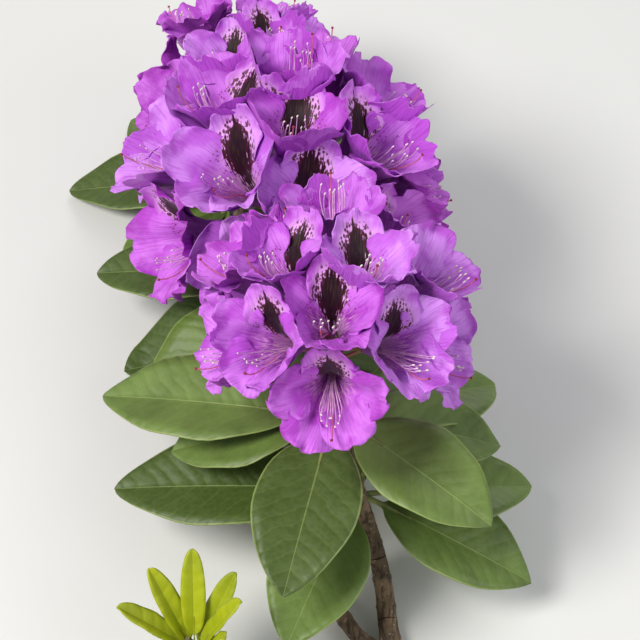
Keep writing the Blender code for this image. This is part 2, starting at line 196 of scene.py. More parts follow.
class Truss:
    """A round head of blooms: its middle, its axis and its blooms."""

    def __init__(self, name, middle, lean, size, seen, count):
        self.name = name
        self.middle = Vector(middle) * CM
        self.axis = Matrix.Rotation(math.radians(-lean), 3, "X") @ UP
        self.size = size
        self.front = RIGHT.cross(self.axis)
        places = self.fill([self.direction(*angles) for *angles, _ in seen], count)
        rolls = [math.radians(roll) for *_, roll in seen] + [0] * count
        self.blooms = [Bloom(place, self.axis, size, roll) for place, roll in zip(places, rolls)]

    def direction(self, polar, azimuth):
        """A unit vector, by degrees from the axis and degrees round it from the near side."""
        polar = math.radians(polar)
        azimuth = math.radians(azimuth)
        across = self.front * math.cos(azimuth) + RIGHT * math.sin(azimuth)
        return (self.axis * math.cos(polar) + across * math.sin(polar)).normalized()

    def stalk(self):
        """The last corners of the shoot that carries the truss: straight up its axis."""
        return [self.middle / CM - self.axis * depth for depth in (WHORL_DEPTH, 2.6, -0.35)]

    def fill(self, places, count):
        """Adds places on the hidden sides, each where the truss is emptiest."""
        lowest = math.cos(math.radians(LOWEST_POLAR))
        spots = []
        for i in range(SPOTS):
            height = 1 - (1 - lowest) * (i + 0.5) / SPOTS
            azimuth = math.degrees(i * GOLDEN_ANGLE)
            spots.append(self.direction(math.degrees(math.acos(height)), azimuth))
        while len(places) < count:
            places.append(max(spots, key=lambda spot: min(spot.angle(p) for p in places)))
        return places

    def borders(self, bloom, others):
        """Half spaces (outward normal, distance) round the bloom: its own cell in the truss."""
        found = []
        for other in self.blooms:
            if other is bloom:
                continue
            between = (bloom.place + other.place).normalized()
            apart = (other.place - bloom.place).normalized()
            tilt = TILE_TILT * apart.dot(self.axis)
            tilt += SIDE_TILT * bloom.place.cross(other.place).normalized().dot(self.axis)
            normal = (apart - between * tilt).normalized()
            rise = apart.dot(self.axis)
            limit = normal.dot(between) * DIVIDE_REACH + LAP * math.copysign(abs(rise) ** 0.7, rise)
            found.append((normal, limit * CM * self.size - GAP / 2))
        for other in others:
            step = other.middle - self.middle
            share = self.size / (self.size + other.size)
            found.append((step.normalized(), step.length * share - GAP / 2))
        return found


def bloom_size(truss, bloom, borders):
    """The bloom's scale: less where it points at the next truss and is pressed short."""
    ahead = [
        (limit - normal.dot(bloom.foot)) / normal.dot(bloom.facing)
        for normal, limit in borders
        if normal.dot(bloom.facing) > LEAST_LEAN
    ]
    return min([truss.size] + [reach / (FULL_REACH * CM) for reach in ahead])


# %% [markdown]
# ## The three trusses
#
# Each row is a bloom that the picture shows: degrees from the truss's axis, degrees round it from
# the near side, and the roll of its upper lobe. The dark marks in the picture gave these angles. The
# two rear trusses are placed and sized for the distance at which they stand there.

# %% The three trusses
front = Truss(
    "front",
    (0, 0, 14.5),
    lean=10,
    size=1.0,
    seen=(
        (99, -3, 0),
        (77, -41, -18),
        (79, 40, 4),
        (53, -4, 0),
        (37, -68, -28),
        (29, 36, 18),
        (66, -104, -10),
        (103, -78, 0),
        (68, 92, 0),
    ),
    count=16,
)
middle = Truss(
    "middle",
    (-2.4, 11.9, 10.7),
    lean=10,
    size=1.28,
    seen=(
        (57, -31, -12),
        (32, 12, 14),
        (59, 68, 20),
        (66, 14, 14),
        (103, -56, -44),
        (35, -83, -24),
        (78, -90, 16),
        (42, 157, 0),
    ),
    count=18,
)
back = Truss(
    "back",
    (-5.0, 23.2, 6.6),
    lean=20,
    size=0.97,
    seen=((34, 44, 22), (52, -9, 0), (92, -51, 10)),
    count=12,
)
trusses = (front, middle, back)
neighbours = {"front": (middle,), "middle": (front, back), "back": (middle,)}
print("blooms", [len(truss.blooms) for truss in trusses])

# %% [markdown]
# ## The routes of all the shoots
#
# The branch lies with its cut end toward the viewer. The front shoot curves up to its truss, and the
# other shoots start just clear of the bark that carries them. Each route is parted where the solids
# are, so that a finished stretch of stem can stand for its own solid.

# %% The stems of all the shoots
main_route = tapered(
    smooth_route(
        [
            (3.4, -15.5, 0.62),
            (3.0, -11.5, 0.62),
            (2.6, -7.6, 0.72),
            (2.2, -4.9, 2.0),
            (1.1, -2.7, 5.2),
            *front.stalk(),
        ]
    ),
    CUT_RADIUS,
    STALK_RADIUS,
)
main_stem, front_shoot, lower_stem, front_stem, front_stalk = cut_stem(main_route, 8, 12, 16, 20)
middle_start = side_start(main_route, 6, (-0.75, 0.65, 0.10), SIDE_RADIUS)
middle_route = tapered(
    smooth_route(
        [*middle_start, (-0.8, -4.6, 1.0), (-1.8, 0.5, 1.2), (-2.2, 6.0, 2.2), *middle.stalk()]
    ),
    SIDE_RADIUS,
    STALK_RADIUS,
)
middle_shoot, middle_stem, middle_stalk = cut_stem(middle_route, 16, 20)
back_start = side_start(middle_route, 9, (-0.8, 0.6, -0.02), SIDE_RADIUS * 0.85)
back_route = tapered(
    smooth_route(
        [*back_start, (-4.6, 4.2, 0.8), (-5.4, 12.0, 0.7), (-5.4, 18.0, 0.7), *back.stalk()]
    ),
    SIDE_RADIUS * 0.85,
    STALK_RADIUS,
)
back_shoot, back_stem, back_stalk = cut_stem(back_route, 16, 20)
young_start = side_start(main_route, 4, (-0.95, 0.25, 0.12), YOUNG_RADIUS)
young_route = tapered(
    smooth_route([*young_start, (-2.2, -10.9, 1.3), (-5.2, -10.6, 2.2), (-6.7, -10.2, 4.2)]),
    YOUNG_RADIUS,
    YOUNG_RADIUS * 0.7,
)
young_shoot, young_stem = cut_stem(young_route, 12)
print("the main stem has", len(main_route), "points")

# %% [markdown]
# ## A round limb
#
# A curve with a round bevel is the plainest way to make a tapering limb, because each point of the
# curve carries its own radius. It is made a mesh before it is finished. The first limb is also set
# against its solid, which shows how far the whole branch was moved to stand over the origin.

# %% Limbs


def tubes(stems, resolution):
    """One mesh of round tubes with capped ends, one for each stem of (point, radius)."""
    curve = bpy.data.curves.new("tube", "CURVE")
    curve.dimensions = "3D"
    curve.bevel_depth = 1
    curve.bevel_resolution = resolution
    curve.use_fill_caps = True
    for stem in stems:
        spline = curve.splines.new("POLY")
        spline.points.add(len(stem) - 1)
        for target, (point, radius) in zip(spline.points, stem):
            target.co = (*point, 1)
            target.radius = radius
    holder = bpy.data.objects.new("tube", curve)
    mesh = bpy.data.meshes.new_from_object(holder)
    bpy.data.objects.remove(holder)
    bpy.data.curves.remove(curve)
    return mesh


measured = tubes([main_stem], 2)
own_low = [min(vertex.co[i] for vertex in measured.vertices) for i in range(3)]
SHIFT = Vector(own_low) - Vector(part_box("main_stem")[0])
print("the branch stands", [round(-side / CM, 2) for side in SHIFT], "cm from where it is worked out")

# %% [markdown]
# ## Pieces
#
# Every finished piece ends the same way: its mesh is moved to the row's place, it is given its finish, it
# rides on the one body, and the solids that it stands for are hidden.

# %% Finishing a piece


def piece(name, mesh, finish, slot, *nodes):
    """One finished piece in its place, riding on the branch and standing for its solids."""
    mesh.transform(Matrix.Translation(-SHIFT))
    mesh.materials.clear()
    mesh.materials.append(finish)
    mesh.shade_smooth()
    made = bpy.data.objects.new(name, mesh)
    bpy.context.scene.collection.objects.link(made)
    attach(made, "root")
    if nodes:
        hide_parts(*nodes)
    return made


def mesh_from(work, name):
    """The bmesh as a mesh."""
    mesh = bpy.data.meshes.new(name)
    work.to_mesh(mesh)
    work.free()
    return mesh


def eased(value):
    """From 0 to 1 with level ends."""
    value = np.clip(value, 0, 1)
    return value * value * (3 - 2 * value)


print("a quarter of the way is eased to", round(float(eased(0.25)), 2))

# %% [markdown]
# ## Patterns as shader groups
#
# Petals, leaves and bark all need sums of small patterns. A short helper adds nodes and joins them,
# and what a node puts out adds and multiplies like a number, so a pattern reads like a sum.

# %% What a node puts out


class Value:
    """What a node puts out."""

    def __init__(self, sketch, socket):
        self.sketch = sketch
        self.socket = socket

    def __add__(self, other):
        return self.sketch.math("ADD", self, other)

    def __sub__(self, other):
        return self.sketch.math("SUBTRACT", self, other)

    def __rsub__(self, other):
        return self.sketch.math("SUBTRACT", other, self)

    def __mul__(self, other):
        return self.sketch.math("MULTIPLY", self, other)

    def __truediv__(self, other):
        return self.sketch.math("DIVIDE", self, other)

    def __abs__(self):
        return self.sketch.math("ABSOLUTE", self)


# %% A helper that adds nodes


class Sketch:
    """Adds nodes to a node tree and joins them."""

    def __init__(self, tree):
        self.tree = tree

    def node(self, kind, **settings):
        made = self.tree.nodes.new(kind)
        for name, value in settings.items():
            setattr(made, name, value)
        return made

    def put(self, socket, value):
        """Joins a value to the input, or sets the input to a plain one."""
        if isinstance(value, Value):
            self.tree.links.new(value.socket, socket)
        else:
            socket.default_value = value

    def value(self, kind, output, inputs, **settings):
        """What a new node with these inputs puts out."""
        made = self.node(kind, **settings)
        for label, value in inputs.items():
            self.put(made.inputs[label], value)
        return Value(self, made.outputs[output])

    def math(self, operation, *values):
        return self.value("ShaderNodeMath", 0, dict(enumerate(values)), operation=operation)

    def ramp(self, value, low, high):
        """0 at low and under, 1 at high and over, smooth between. Low may be above high."""
        inputs = {"Value": value, "From Min": low, "From Max": high}
        return self.value("ShaderNodeMapRange", 0, inputs, interpolation_type="SMOOTHSTEP")

    def mix(self, factor, low, high):
        """Colour low where the factor is 0 and colour high where it is 1."""
        return self.value("ShaderNodeMix", 2, {0: factor, 6: low, 7: high}, data_type="RGBA")

    def vector(self, *parts):
        return self.value("ShaderNodeCombineXYZ", 0, dict(enumerate(parts)))

    def parts(self, vector):
        made = self.node("ShaderNodeSeparateXYZ")
        self.put(made.inputs[0], vector)
        return [Value(self, output) for output in made.outputs]

    def noise(self, vector, scale, detail=2.0):
        inputs = {"Vector": vector, "Scale": scale, "Detail": detail}
        return self.value("ShaderNodeTexNoise", 0, inputs)

    def cells(self, vector, scale):
        """How far a point lies from the middle of the nearest random cell."""
        return self.value("ShaderNodeTexVoronoi", "Distance", {"Vector": vector, "Scale": scale})

    def curve(self, value, points):
        """A value read off a smooth curve through the points."""
        made = self.node("ShaderNodeFloatCurve")
        line = made.mapping.curves[0]
        for spot, point in zip(line.points, (points[0], points[-1])):
            spot.location = point
        for point in points[1:-1]:
            line.points.new(*point)
        made.mapping.update()
        self.put(made.inputs["Value"], value)
        return Value(self, made.outputs[0])

    def place(self):
        """Where a point lies on the branch."""
        return self.value("ShaderNodeTexCoord", "Object", {})

    def surface(self, layer):
        """Where a point lies on one of the piece's own maps."""
        return self.value("ShaderNodeUVMap", 0, {}, uv_map=layer)


# %% Groups and finishes


def pattern_group(name, inputs, outputs):
    """A shader group with these sockets, and its sketch, inputs and output node."""
    tree = bpy.data.node_groups.new(name, "ShaderNodeTree")
    for side, sockets in (("INPUT", inputs), ("OUTPUT", outputs)):
        for label, kind in sockets.items():
            tree.interface.new_socket(label, in_out=side, socket_type="NodeSocket" + kind)
    sketch = Sketch(tree)
    given = [Value(sketch, output) for output in sketch.node("NodeGroupInput").outputs[:-1]]
    return tree, sketch, given, sketch.node("NodeGroupOutput").inputs


def finish(name, roughness):
    """A material with its sketch and its Principled shader."""
    made = bpy.data.materials.new(name)
    made.use_nodes = True
    shader = made.node_tree.nodes["Principled BSDF"]
    shader.inputs["Roughness"].default_value = roughness
    return made, Sketch(made.node_tree), shader


def bump(sketch, shader, height, distance, strength=0.6):
    """Raises the shader's surface by a height of 0 to 1 over this many metres."""
    inputs = {"Distance": distance, "Strength": strength, "Height": height}
    sketch.put(shader.inputs["Normal"], sketch.value("ShaderNodeBump", 0, inputs))


def patterned(name, roughness, group, maps, values, distance, strength=0.7):
    """A finish from a pattern, and its shader. Maps names the piece's map for an input, or None for the
    place on the branch."""
    made, sketch, shader = finish(name, roughness)
    pattern = sketch.node("ShaderNodeGroup", node_tree=group)
    for label, layer in maps.items():
        sketch.put(pattern.inputs[label], sketch.surface(layer) if layer else sketch.place())
    for label, value in values.items():
        sketch.put(pattern.inputs[label], value)
    given = {output.name: Value(sketch, output) for output in pattern.outputs}
    sketch.put(shader.inputs["Base Color"], given["Color"])
    sketch.put(shader.inputs["Roughness"], given.get("Roughness", roughness))
    bump(sketch, shader, given["Height"], distance, strength)
    return made, shader


# %% [markdown]
# ## Where a point lies on a petal
#
# Each petal carries a map in centimetres: across from its midline, and out from the throat. The
# lobes' maps lie 10 cm apart, so the pattern knows the upper lobe, which alone has the dark flame.
# Streaks and veins fan out from a point behind the throat, so they are read by angle and distance
# from that point. The seed gives each finish its own clouds.

# %% The petal's map
LOBE_STEP = 10
BACK_STEP = 100
TUBE = 5  # the lobes are 0 to 4, from the upper one round, and the tube is the sixth sheet
FAN_DEPTH = 2.4


class PetalSpot:
    """A point of a petal: its lobe, its place on it in centimetres, and its streaks and clouds."""

    def __init__(self, sketch, surface, seed):
        self.sketch = sketch
        u, self.out, _ = sketch.parts(surface)
        lobe = sketch.math("FLOOR", (u + LOBE_STEP / 2) / LOBE_STEP)
        self.across = u - lobe * LOBE_STEP
        on_upper = sketch.math("LESS_THAN", abs(lobe), 0.5)
        self.upper = sketch.math("MAXIMUM", on_upper, self.number_is(lobe, TUBE))
        self.toward_upper = (self.number_is(lobe, 4) - self.number_is(lobe, 1)) * self.across
        self.behind = sketch.math("GREATER_THAN", lobe, TUBE + 1.5)
        self.own = seed + lobe * 3.7
        raised = self.out + FAN_DEPTH
        self.turn = sketch.math("ARCTAN2", self.across, raised)
        self.ray = sketch.math("SQRT", self.across * self.across + raised * raised)
        self.streaks = sketch.noise(self.fan(54, 1.9), 1.0, 3)
        self.veins = sketch.noise(self.fan(74, 0.9), 1.0, 2)
        self.clouds = sketch.noise(sketch.vector(self.across, self.out, self.own), 0.75, 3)

    def number_is(self, lobe, number):
        """1 on the lobe of this number."""
        return self.sketch.math("COMPARE", lobe, number, 0.1)

    def fan(self, rays, rings):
        """The place in a fan with so many rays and rings."""
        return self.sketch.vector(self.turn * rays, self.ray * rings, self.own)


# %% [markdown]
# ## The ground colour of a petal
#
# A petal is cloudy, from a middle tone to a pale one. The deep tone lies along the veins and in patches
# at the rim. It is also laid in the crease and in the throat as painted shade, darkest down in the tube,
# and pale streaks run up out of the throat.

# %% The petal's ground
STREAK_PINK = (0.84, 0.50, 0.72, 1)


def petal_ground(sketch, spot, deep, middle_tone, pale):
    """A cloudy tone, deeper along the veins and at the rim, with painted shade in the crease and the
    throat.
    """
    ramp, mix = sketch.ramp, sketch.mix
    colour = mix(ramp(spot.clouds, 0.40, 0.60), middle_tone, pale)
    veins = ramp(spot.veins, 0.50, 0.72)
    # Painted shade: the crease of the side and lower lobes is darkened as if shadowed.
    crease = ramp(abs(spot.across), 0.30, 0.02) * ramp(spot.out, 2.3, 0.2) * (1 - spot.upper)
    rim = ramp(spot.out, 1.8, 3.3) * ramp(spot.clouds, 0.62, 0.40)
    # Painted shade: the throat and the tube below it are darkened as if shadowed.
    throat = ramp(spot.out, 1.2, 0.0)
    for mask, share in ((veins, 0.44), (crease, 0.55), (rim, 0.60), (throat, 0.35)):
        colour = mix(mask * share, colour, deep)
    lighter = ramp(spot.streaks, 0.46, 0.60) * ramp(spot.out, 1.5, 0.1)
    return mix(lighter * 0.75, colour, STREAK_PINK)


# %% [markdown]
# ## The flame and its freckles
#
# The flame is a half width that changes along the upper lobe. Streaks break its edge, its heart is
# almost black with some olive, and dashes stand round it on a pale halo. Small cells scatter
# freckles on the two side lobes, on the side toward the flame.

# %% The flame
FLAME_FOOT = 1.3  # how far below the throat's edge the flame starts, and how long it is
FLAME_LENGTH = 3.85
FLAME_HALF = (
    (0.0, 0.08),
    (0.34, 0.30),
    (0.47, 0.46),
    (0.58, 0.60),
    (0.69, 0.60),
    (0.80, 0.42),
    (0.90, 0.18),
    (1.0, 0.0),
)
HALO_PINK = (0.80, 0.47, 0.76, 1)
DASH_RED = (0.075, 0.003, 0.022, 1)
FLAME_BLACK = (0.014, 0.002, 0.005, 1)
FLAME_OLIVE = (0.070, 0.042, 0.014, 1)
FLAME_RED = (0.060, 0.003, 0.016, 1)
FRECKLE_RED = (0.20, 0.006, 0.05, 1)


def with_flame(sketch, spot, colour):
    """The colour with the halo, the dashes and the flame of the upper lobe laid over it."""
    ramp, mix = sketch.ramp, sketch.mix
    out = spot.out
    past_edge = abs(spot.across) - sketch.curve((out + FLAME_FOOT) / FLAME_LENGTH, FLAME_HALF)
    halo = ramp(past_edge, 0.95, 0.1) * ramp(out, 3.1, 2.0) * spot.upper
    colour = mix(halo * 0.66, colour, HALO_PINK)
    dash = ramp(sketch.cells(spot.fan(40, 5.6), 1.0), 0.54, 0.44) * ramp(past_edge, 0.50, 0.36)
    dash *= ramp(out, -0.1, 0.3) * ramp(out, 2.6, 2.3) * spot.upper
    colour = mix(dash * 0.92, colour, DASH_RED)

    broken = past_edge + (spot.streaks - 0.5) * 1.4
    flame = ramp(broken, 0.05, -0.03) * spot.upper
    olive = ramp(abs(spot.across), 0.42, 0.06) * ramp(spot.streaks, 0.48, 0.62) * ramp(out, 0.2, 1.0)
    core = mix(olive * 0.5, FLAME_BLACK, FLAME_OLIVE)
    core = mix(ramp(broken, -0.30, 0.0), core, FLAME_RED)
    return mix(flame, colour, core)


def with_freckles(sketch, spot, colour):
    """The colour with freckles on the side lobes, and none on the back."""
    cells = sketch.cells(sketch.vector(spot.across, spot.out * 0.8, spot.own), 7.5)
    freckle = sketch.ramp(cells, 0.30, 0.22) * sketch.ramp(spot.out, 1.7, 1.2)
    freckle *= sketch.ramp(spot.toward_upper, 0.12, 0.22) * (1 - spot.behind)
    return sketch.mix(freckle * 0.85, colour, FRECKLE_RED)


# %% The petal group


def build_petal_group():
    """Colour and relief of a petal from its own map."""
    tree, sketch, (surface, deep, middle_tone, pale, seed), result = pattern_group(
        "petal_pattern",
        {"Map": "Vector", "Deep": "Color", "Middle": "Color", "Pale": "Color", "Seed": "Float"},
        {"Color": "Color", "Height": "Float"},
    )
    spot = PetalSpot(sketch, surface, seed)
    colour = petal_ground(sketch, spot, deep, middle_tone, pale)
    colour = with_freckles(sketch, spot, with_flame(sketch, spot, colour))
    outside = sketch.mix(sketch.ramp(spot.veins, 0.44, 0.66) * 0.5, middle_tone, deep)
    sketch.put(result["Color"], sketch.mix(spot.behind, colour, outside))
    sketch.put(result["Height"], spot.veins * 0.7 + spot.clouds * 0.5)
    return tree


petal_group = build_petal_group()
print("the petal pattern has", len(petal_group.nodes), "nodes")

# %% [markdown]
# ## Six petal finishes
#
# The blooms of one bush differ a little with their age. Three sets of tones, each with two seeds,
# are dealt out by the bloom's number. A petal is satin: little gloss and a trace of sheen.

# %% The petal finishes
PETAL_TONES = (
    ("violet", (0.28, 0.018, 0.35, 1), (0.49, 0.085, 0.64, 1), (0.64, 0.20, 0.80, 1)),
    ("magenta", (0.28, 0.012, 0.33, 1), (0.47, 0.066, 0.59, 1), (0.61, 0.16, 0.75, 1)),
    ("lilac", (0.33, 0.034, 0.41, 1), (0.54, 0.130, 0.71, 1), (0.67, 0.27, 0.85, 1)),
)


def petal_finish(name, deep, middle_tone, pale, seed):
    """Thin satin petal, with the flame on its upper lobe."""
    values = {"Deep": deep, "Middle": middle_tone, "Pale": pale, "Seed": seed}
    made, shader = patterned("petal_" + name, 0.52, petal_group, {"Map": "petal"}, values, 0.0009)
    shader.inputs["Specular IOR Level"].default_value = 0.30
    shader.inputs["Sheen Weight"].default_value = 0.06
    shader.inputs["Sheen Roughness"].default_value = 0.4
    return made


petal_finishes = [
    petal_finish(f"{name}_{i}", *tones, seed=11.3 * i + 2)
    for i in range(2)
    for name, *tones in PETAL_TONES
]
print("petal finishes", [made.name for made in petal_finishes])

# %% [markdown]
# ## One lobe of a bloom
#
# A lobe could be cut out of a flat sheet, but then its edge would be ragged. Here a square grid is
# drawn out instead: its lower rows widen from the throat, and its upper rows are rounded off as a
# square is mapped to a disc. The slope changes along the lobe from steep in the throat to lying
# back at the tip, waves grow towards the margin, and a crease runs down the midline.

# %% Lobes
ACROSS = 18
ALONG = 18
TUBE_ROWS = 5
FUNNEL_REACH = 3.45
FUNNEL_RADIUS = 0.58
LOBE_REACH = 3.3
FUSED = 0.85  # centimetres out from the throat where neighbouring lobes are still one
WIDEST = 1.6
ROUNDED = 0.45  # the share of a lobe's rows after which its sides are rounded off
FLATNESS = 0.55  # how far a lobe's outer part leaves the round of the funnel for its own plane
RIPPLES = ((0.085, 4, 13, 3), (0.035, 2, 23, 5))  # height, power of the margin, number and phase
SIDE_HALF = math.radians(36)
STEEP = math.radians(66)  # how steeply a lobe stands in the throat
LIE = 48  # degrees at which it lies further out, and what the upper lobe lies flatter by
UPPER_LIE = -13
BEND = math.radians(34)  # how far it bends from its foot to its tip
PROUD_EDGES = ((1, 1), (-1, 1), (-1, 1), (-1, -1), (1, -1))  # which edges lie over the neighbour's


def slope_at(turn, out, bend):
    """How steeply a lobe stands, by the turn from the upper lobe and the distance out."""
    own = np.radians(LIE + UPPER_LIE * np.cos(turn))
    return own + (STEEP - own) * np.exp(-out / 0.5) + bend * (0.5 - out / LOBE_REACH)


def profile(turn, out, bend):
    """Radius and height over the throat at a distance out, summed in short steps."""
    steps = (np.arange(16) + 0.5)[:, None] / 16
    slopes = slope_at(turn, out * steps, bend)
    return FUNNEL_RADIUS + out * np.cos(slopes).mean(axis=0), out * np.sin(slopes).mean(axis=0)


def lobe_plan(turn, angle, ring, sideways, out):
    """The lobe seen along the bloom's axis: round at its foot, and flatter further out."""
    flat = FLATNESS * eased((out - FUSED) / 1.6)[:, None]
    ring = ring[:, None]
    radial = np.stack([np.sin(angle), np.cos(angle)], 1) * ring
    middle_way = np.array([math.sin(turn), math.cos(turn)])
    square_way = np.array([math.cos(turn), -math.sin(turn)])
    level = middle_way * ring + square_way * sideways[:, None]
    return radial * (1 - flat) + level * flat


def lobe_relief(lobe, habit, s, q, out, sideways, free):
    """How far each point stands proud: waves, lapped edges, a twist, the crease and two swells."""
    margin = np.maximum(np.abs(s), q)
    round_turn = np.arctan2(s, q - 0.4)
    phase = habit["phases"][lobe]
    proud = 0.21 * free * margin**3 * np.sin(habit["waves"][lobe] * round_turn + phase)
    for height, power, count, shift in RIPPLES:
        proud += height * free * margin**power * np.sin(count * round_turn + shift * phase)
    over = np.where(s < 0, *PROUD_EDGES[lobe])
    proud += 0.10 * over * eased((np.abs(s) - 0.35) / 0.6) * free
    proud += habit["twists"][lobe] * sideways * free
    crease, swell = (0.17, 0.10) if lobe else (0.06, -0.05)
    proud -= crease * np.exp(-((sideways / 0.22) ** 2)) * eased(out / 0.7) * eased((3.0 - out) / 1.8)
    proud += swell * np.exp(-(((np.abs(sideways) - 0.7) / 0.35) ** 2)) * free
    return proud


def lobe_points(grid, lobe, habit):
    """Places of one lobe over the throat (side, upper, ahead) and its map, in centimetres."""
    s = grid[:, 0]
    t = (grid[:, 1] + 1) / 2
    turn = 2 * math.pi * lobe / 5
    length = LOBE_REACH * habit["lengths"][lobe]
    low = np.clip(t / ROUNDED, 0, 1)
    q = np.clip((t - ROUNDED) / (1 - ROUNDED), 0, 1)
    notch = 0.12 * np.exp(-((s / 0.16) ** 2)) * q**3
    out = WIDEST * low + (length - WIDEST) * q * np.sqrt(1 - s * s / 2) - notch
    free = eased((out - FUSED) / (WIDEST - FUSED))
    bend = BEND + habit["bends"][lobe] * free
    here = turn + s * SIDE_HALF
    ring, rise = profile(here, out, bend)
    wide_ring, _ = profile(here, np.minimum(out, WIDEST), bend)
    last_ring, _ = profile(np.array([turn]), np.array([WIDEST]), BEND)
    spread = wide_ring * SIDE_HALF + (habit["widths"][lobe] - last_ring * SIDE_HALF) * free
    sideways = s * spread * np.sqrt(1 - q * q / 2)
    angle = turn + sideways / ring
    proud = lobe_relief(lobe, habit, s, q, out, sideways, free)
    tilt = slope_at(here, out, bend)
    way = np.stack([np.sin(angle), np.cos(angle)], 1)
    plan = lobe_plan(turn, angle, ring, sideways, out) - way * (np.sin(tilt) * proud)[:, None]
    return np.column_stack([plan, rise + np.cos(tilt) * proud]), np.column_stack([sideways, out])


def tube_points(grid):
    """Places of the funnel's tube under the throat, and its map, in centimetres."""
    angle = grid[:, 0] * math.pi
    t = (grid[:, 1] + 1) / 2
    ring = CALYX_RADIUS + (FUNNEL_RADIUS - CALYX_RADIUS) * t**1.2
    plan = np.stack([np.sin(angle), np.cos(angle)], 1) * ring[:, None]
    ahead = (CALYX_REACH - FUNNEL_REACH) * (1 - t)
    return np.column_stack([plan, ahead]), np.column_stack([angle * ring, ahead])


tip_ring, tip_rise = profile(np.array([0.0]), np.array([LOBE_REACH]), BEND)
print("the upper lobe's tip lies", round(tip_ring[0], 1), "cm out and", round(tip_rise[0], 1), "cm ahead")

# %% [markdown]
# ## Sheets and their maps
#
# Petals and leaves are both grids that a function draws out, so one helper makes both. It also lays
# each sheet on the piece's maps: the pattern's own map, and a flat colour map on which no two faces
# share a place. There the fronts of a bloom are large, and the backs are a strip beside them.

# %% Sheets with maps
FRONT_CELLS = (3, 2, 0.0, 0.75)  # columns, rows, left edge and width on the colour map
BACK_CELLS = (1, 6, 0.75, 0.25)
CELL_EDGE = 0.04
CELL_FILL = 0.92


def bake_place(cell, layout, local):
    """Where a point of a sheet lies on the piece's colour map."""
    columns, rows, left, wide = layout
    u = left + wide * (cell % columns + CELL_EDGE + CELL_FILL * local[0]) / columns
    v = (cell // columns + CELL_EDGE + CELL_FILL * local[1]) / rows
    return u, v


def bake_local(cell, layout, u, v):
    """The point of a sheet that lies at a place of the colour map."""
    columns, rows, left, wide = layout
    across = ((u - left) / wide * columns - cell % columns - CELL_EDGE) / CELL_FILL
    along = (v * rows - cell // columns - CELL_EDGE) / CELL_FILL
    return across, along


def add_sheet(work, columns, rows, shape, layers):
    """A grid drawn out by the shape function, which also gives its places on the maps."""
    first = len(work.verts)
    verts = bmesh.ops.create_grid(work, x_segments=columns, y_segments=rows, size=1)["verts"]
    work.verts.index_update()
    points, *maps = shape(np.array([vert.co[:2] for vert in verts]))
    for vert, point in zip(verts, points):
        vert.co = point
    faces = list(dict.fromkeys(face for vert in verts for face in vert.link_faces))
    for face in faces:
        for loop in face.loops:
            for layer, places in zip(layers, maps):
                loop[layer].uv = places[loop.vert.index - first]
    return faces


def mapped(shape, cell):
    """The shape with its pattern map in the cell's own place, and its place on the colour map."""

    def drawn(grid):
        points, pattern = shape(grid)
        baked = bake_place(cell, FRONT_CELLS, (grid.T + 1) / 2)
        return points, pattern + (LOBE_STEP * cell, 0), np.column_stack(baked)

    return drawn


def mark_backs(made, pattern, bake):
    """Gives the faces that Solidify made behind the lobes their own places on both maps."""
    for face in made["geom"]:
        if isinstance(face, bmesh.types.BMFace):
            cell = round(sum(loop[pattern].uv.x for loop in face.loops) / len(face.loops) / LOBE_STEP)
            for loop in face.loops:
                local = bake_local(cell, FRONT_CELLS, *loop[bake].uv)
                loop[bake].uv = bake_place(cell, BACK_CELLS, local)
                loop[pattern].uv.x += BACK_STEP


print("a colour map has", FRONT_CELLS[0] * FRONT_CELLS[1], "places for fronts and as many for backs")

# %% [markdown]
# ## A whole bloom
#
# Five lobes and the tube are drawn out of grids, merged where they meet, and given a wall with
# Solidify's operator. The backs keep their own map, so the flame shows on the front only. Where a
# neighbour stands too near, a petal is eased short of the border and curls forward there, as petals
# do in a full truss.

# %% Blooms
PETAL_WALL = 0.00035
MERGE = 0.004  # centimetres within which the rows of neighbouring lobes become one
TUCK = 0.0016  # how far a petal may slip past the border to its neighbour
EASE_FROM = 0.82  # the share of its room after which a petal eases off
CURL = 0.38  # how far forward it curls for what it is eased off


def kept_in(points, bloom, borders):
    """The points, eased short of the borders and curled forward where there is no room."""
    foot = np.array(bloom.foot)
    facing = np.array(bloom.facing)
    reach = (points - foot) @ facing
    line = foot + facing * reach[:, None]
    outward = points - line
    radius = np.linalg.norm(outward, axis=1)
    outward /= np.maximum(radius, 1e-9)[:, None]
    normals = np.array([normal for normal, _ in borders])
    limits = np.array([limit for _, limit in borders]) + TUCK
    lean = outward @ normals.T
    free = (limits - line @ normals.T) / np.where(lean > LEAST_LEAN, lean, 1)
    room = np.where(lean > LEAST_LEAN, free, 1).min(axis=1)
    start = room * EASE_FROM
    spare = np.maximum(room - start, 1e-6)
    short = start + spare * (1 - np.exp(-(radius - start) / spare))
    short = np.where(radius > start, short, radius)
    curl = (radius - short) * CURL
    return line + outward * short[:, None] + facing * curl[:, None]


def bloom_habit(name):
    """What makes this bloom differ a little from the next."""
    chance = random.Random(name)
    return {
        "lengths": [length * chance.uniform(0.93, 1.05) for length in (1.02, 1.0, 0.93, 0.93, 1.0)],
        "widths": [width + chance.uniform(-0.10, 0.10) for width in (1.30, 1.50, 1.54, 1.54, 1.50)],
        "waves": [chance.uniform(3.6, 5.4) for _ in range(5)],
        "phases": [chance.uniform(0, 6.28) for _ in range(5)],
        "bends": [math.radians(chance.uniform(-12, 12)) for _ in range(5)],
        "twists": [chance.uniform(-0.14, 0.14) for _ in range(5)],
        "roll": math.radians(chance.uniform(-5, 5)),
    }


def throat_place(truss, bloom, size):
    """Where the bloom's tube ends and its lobes begin."""
    reach = bloom.throat / truss.size - (THROAT_REACH - FUNNEL_REACH) * CM
    return truss.middle + bloom.foot + bloom.facing * reach * size


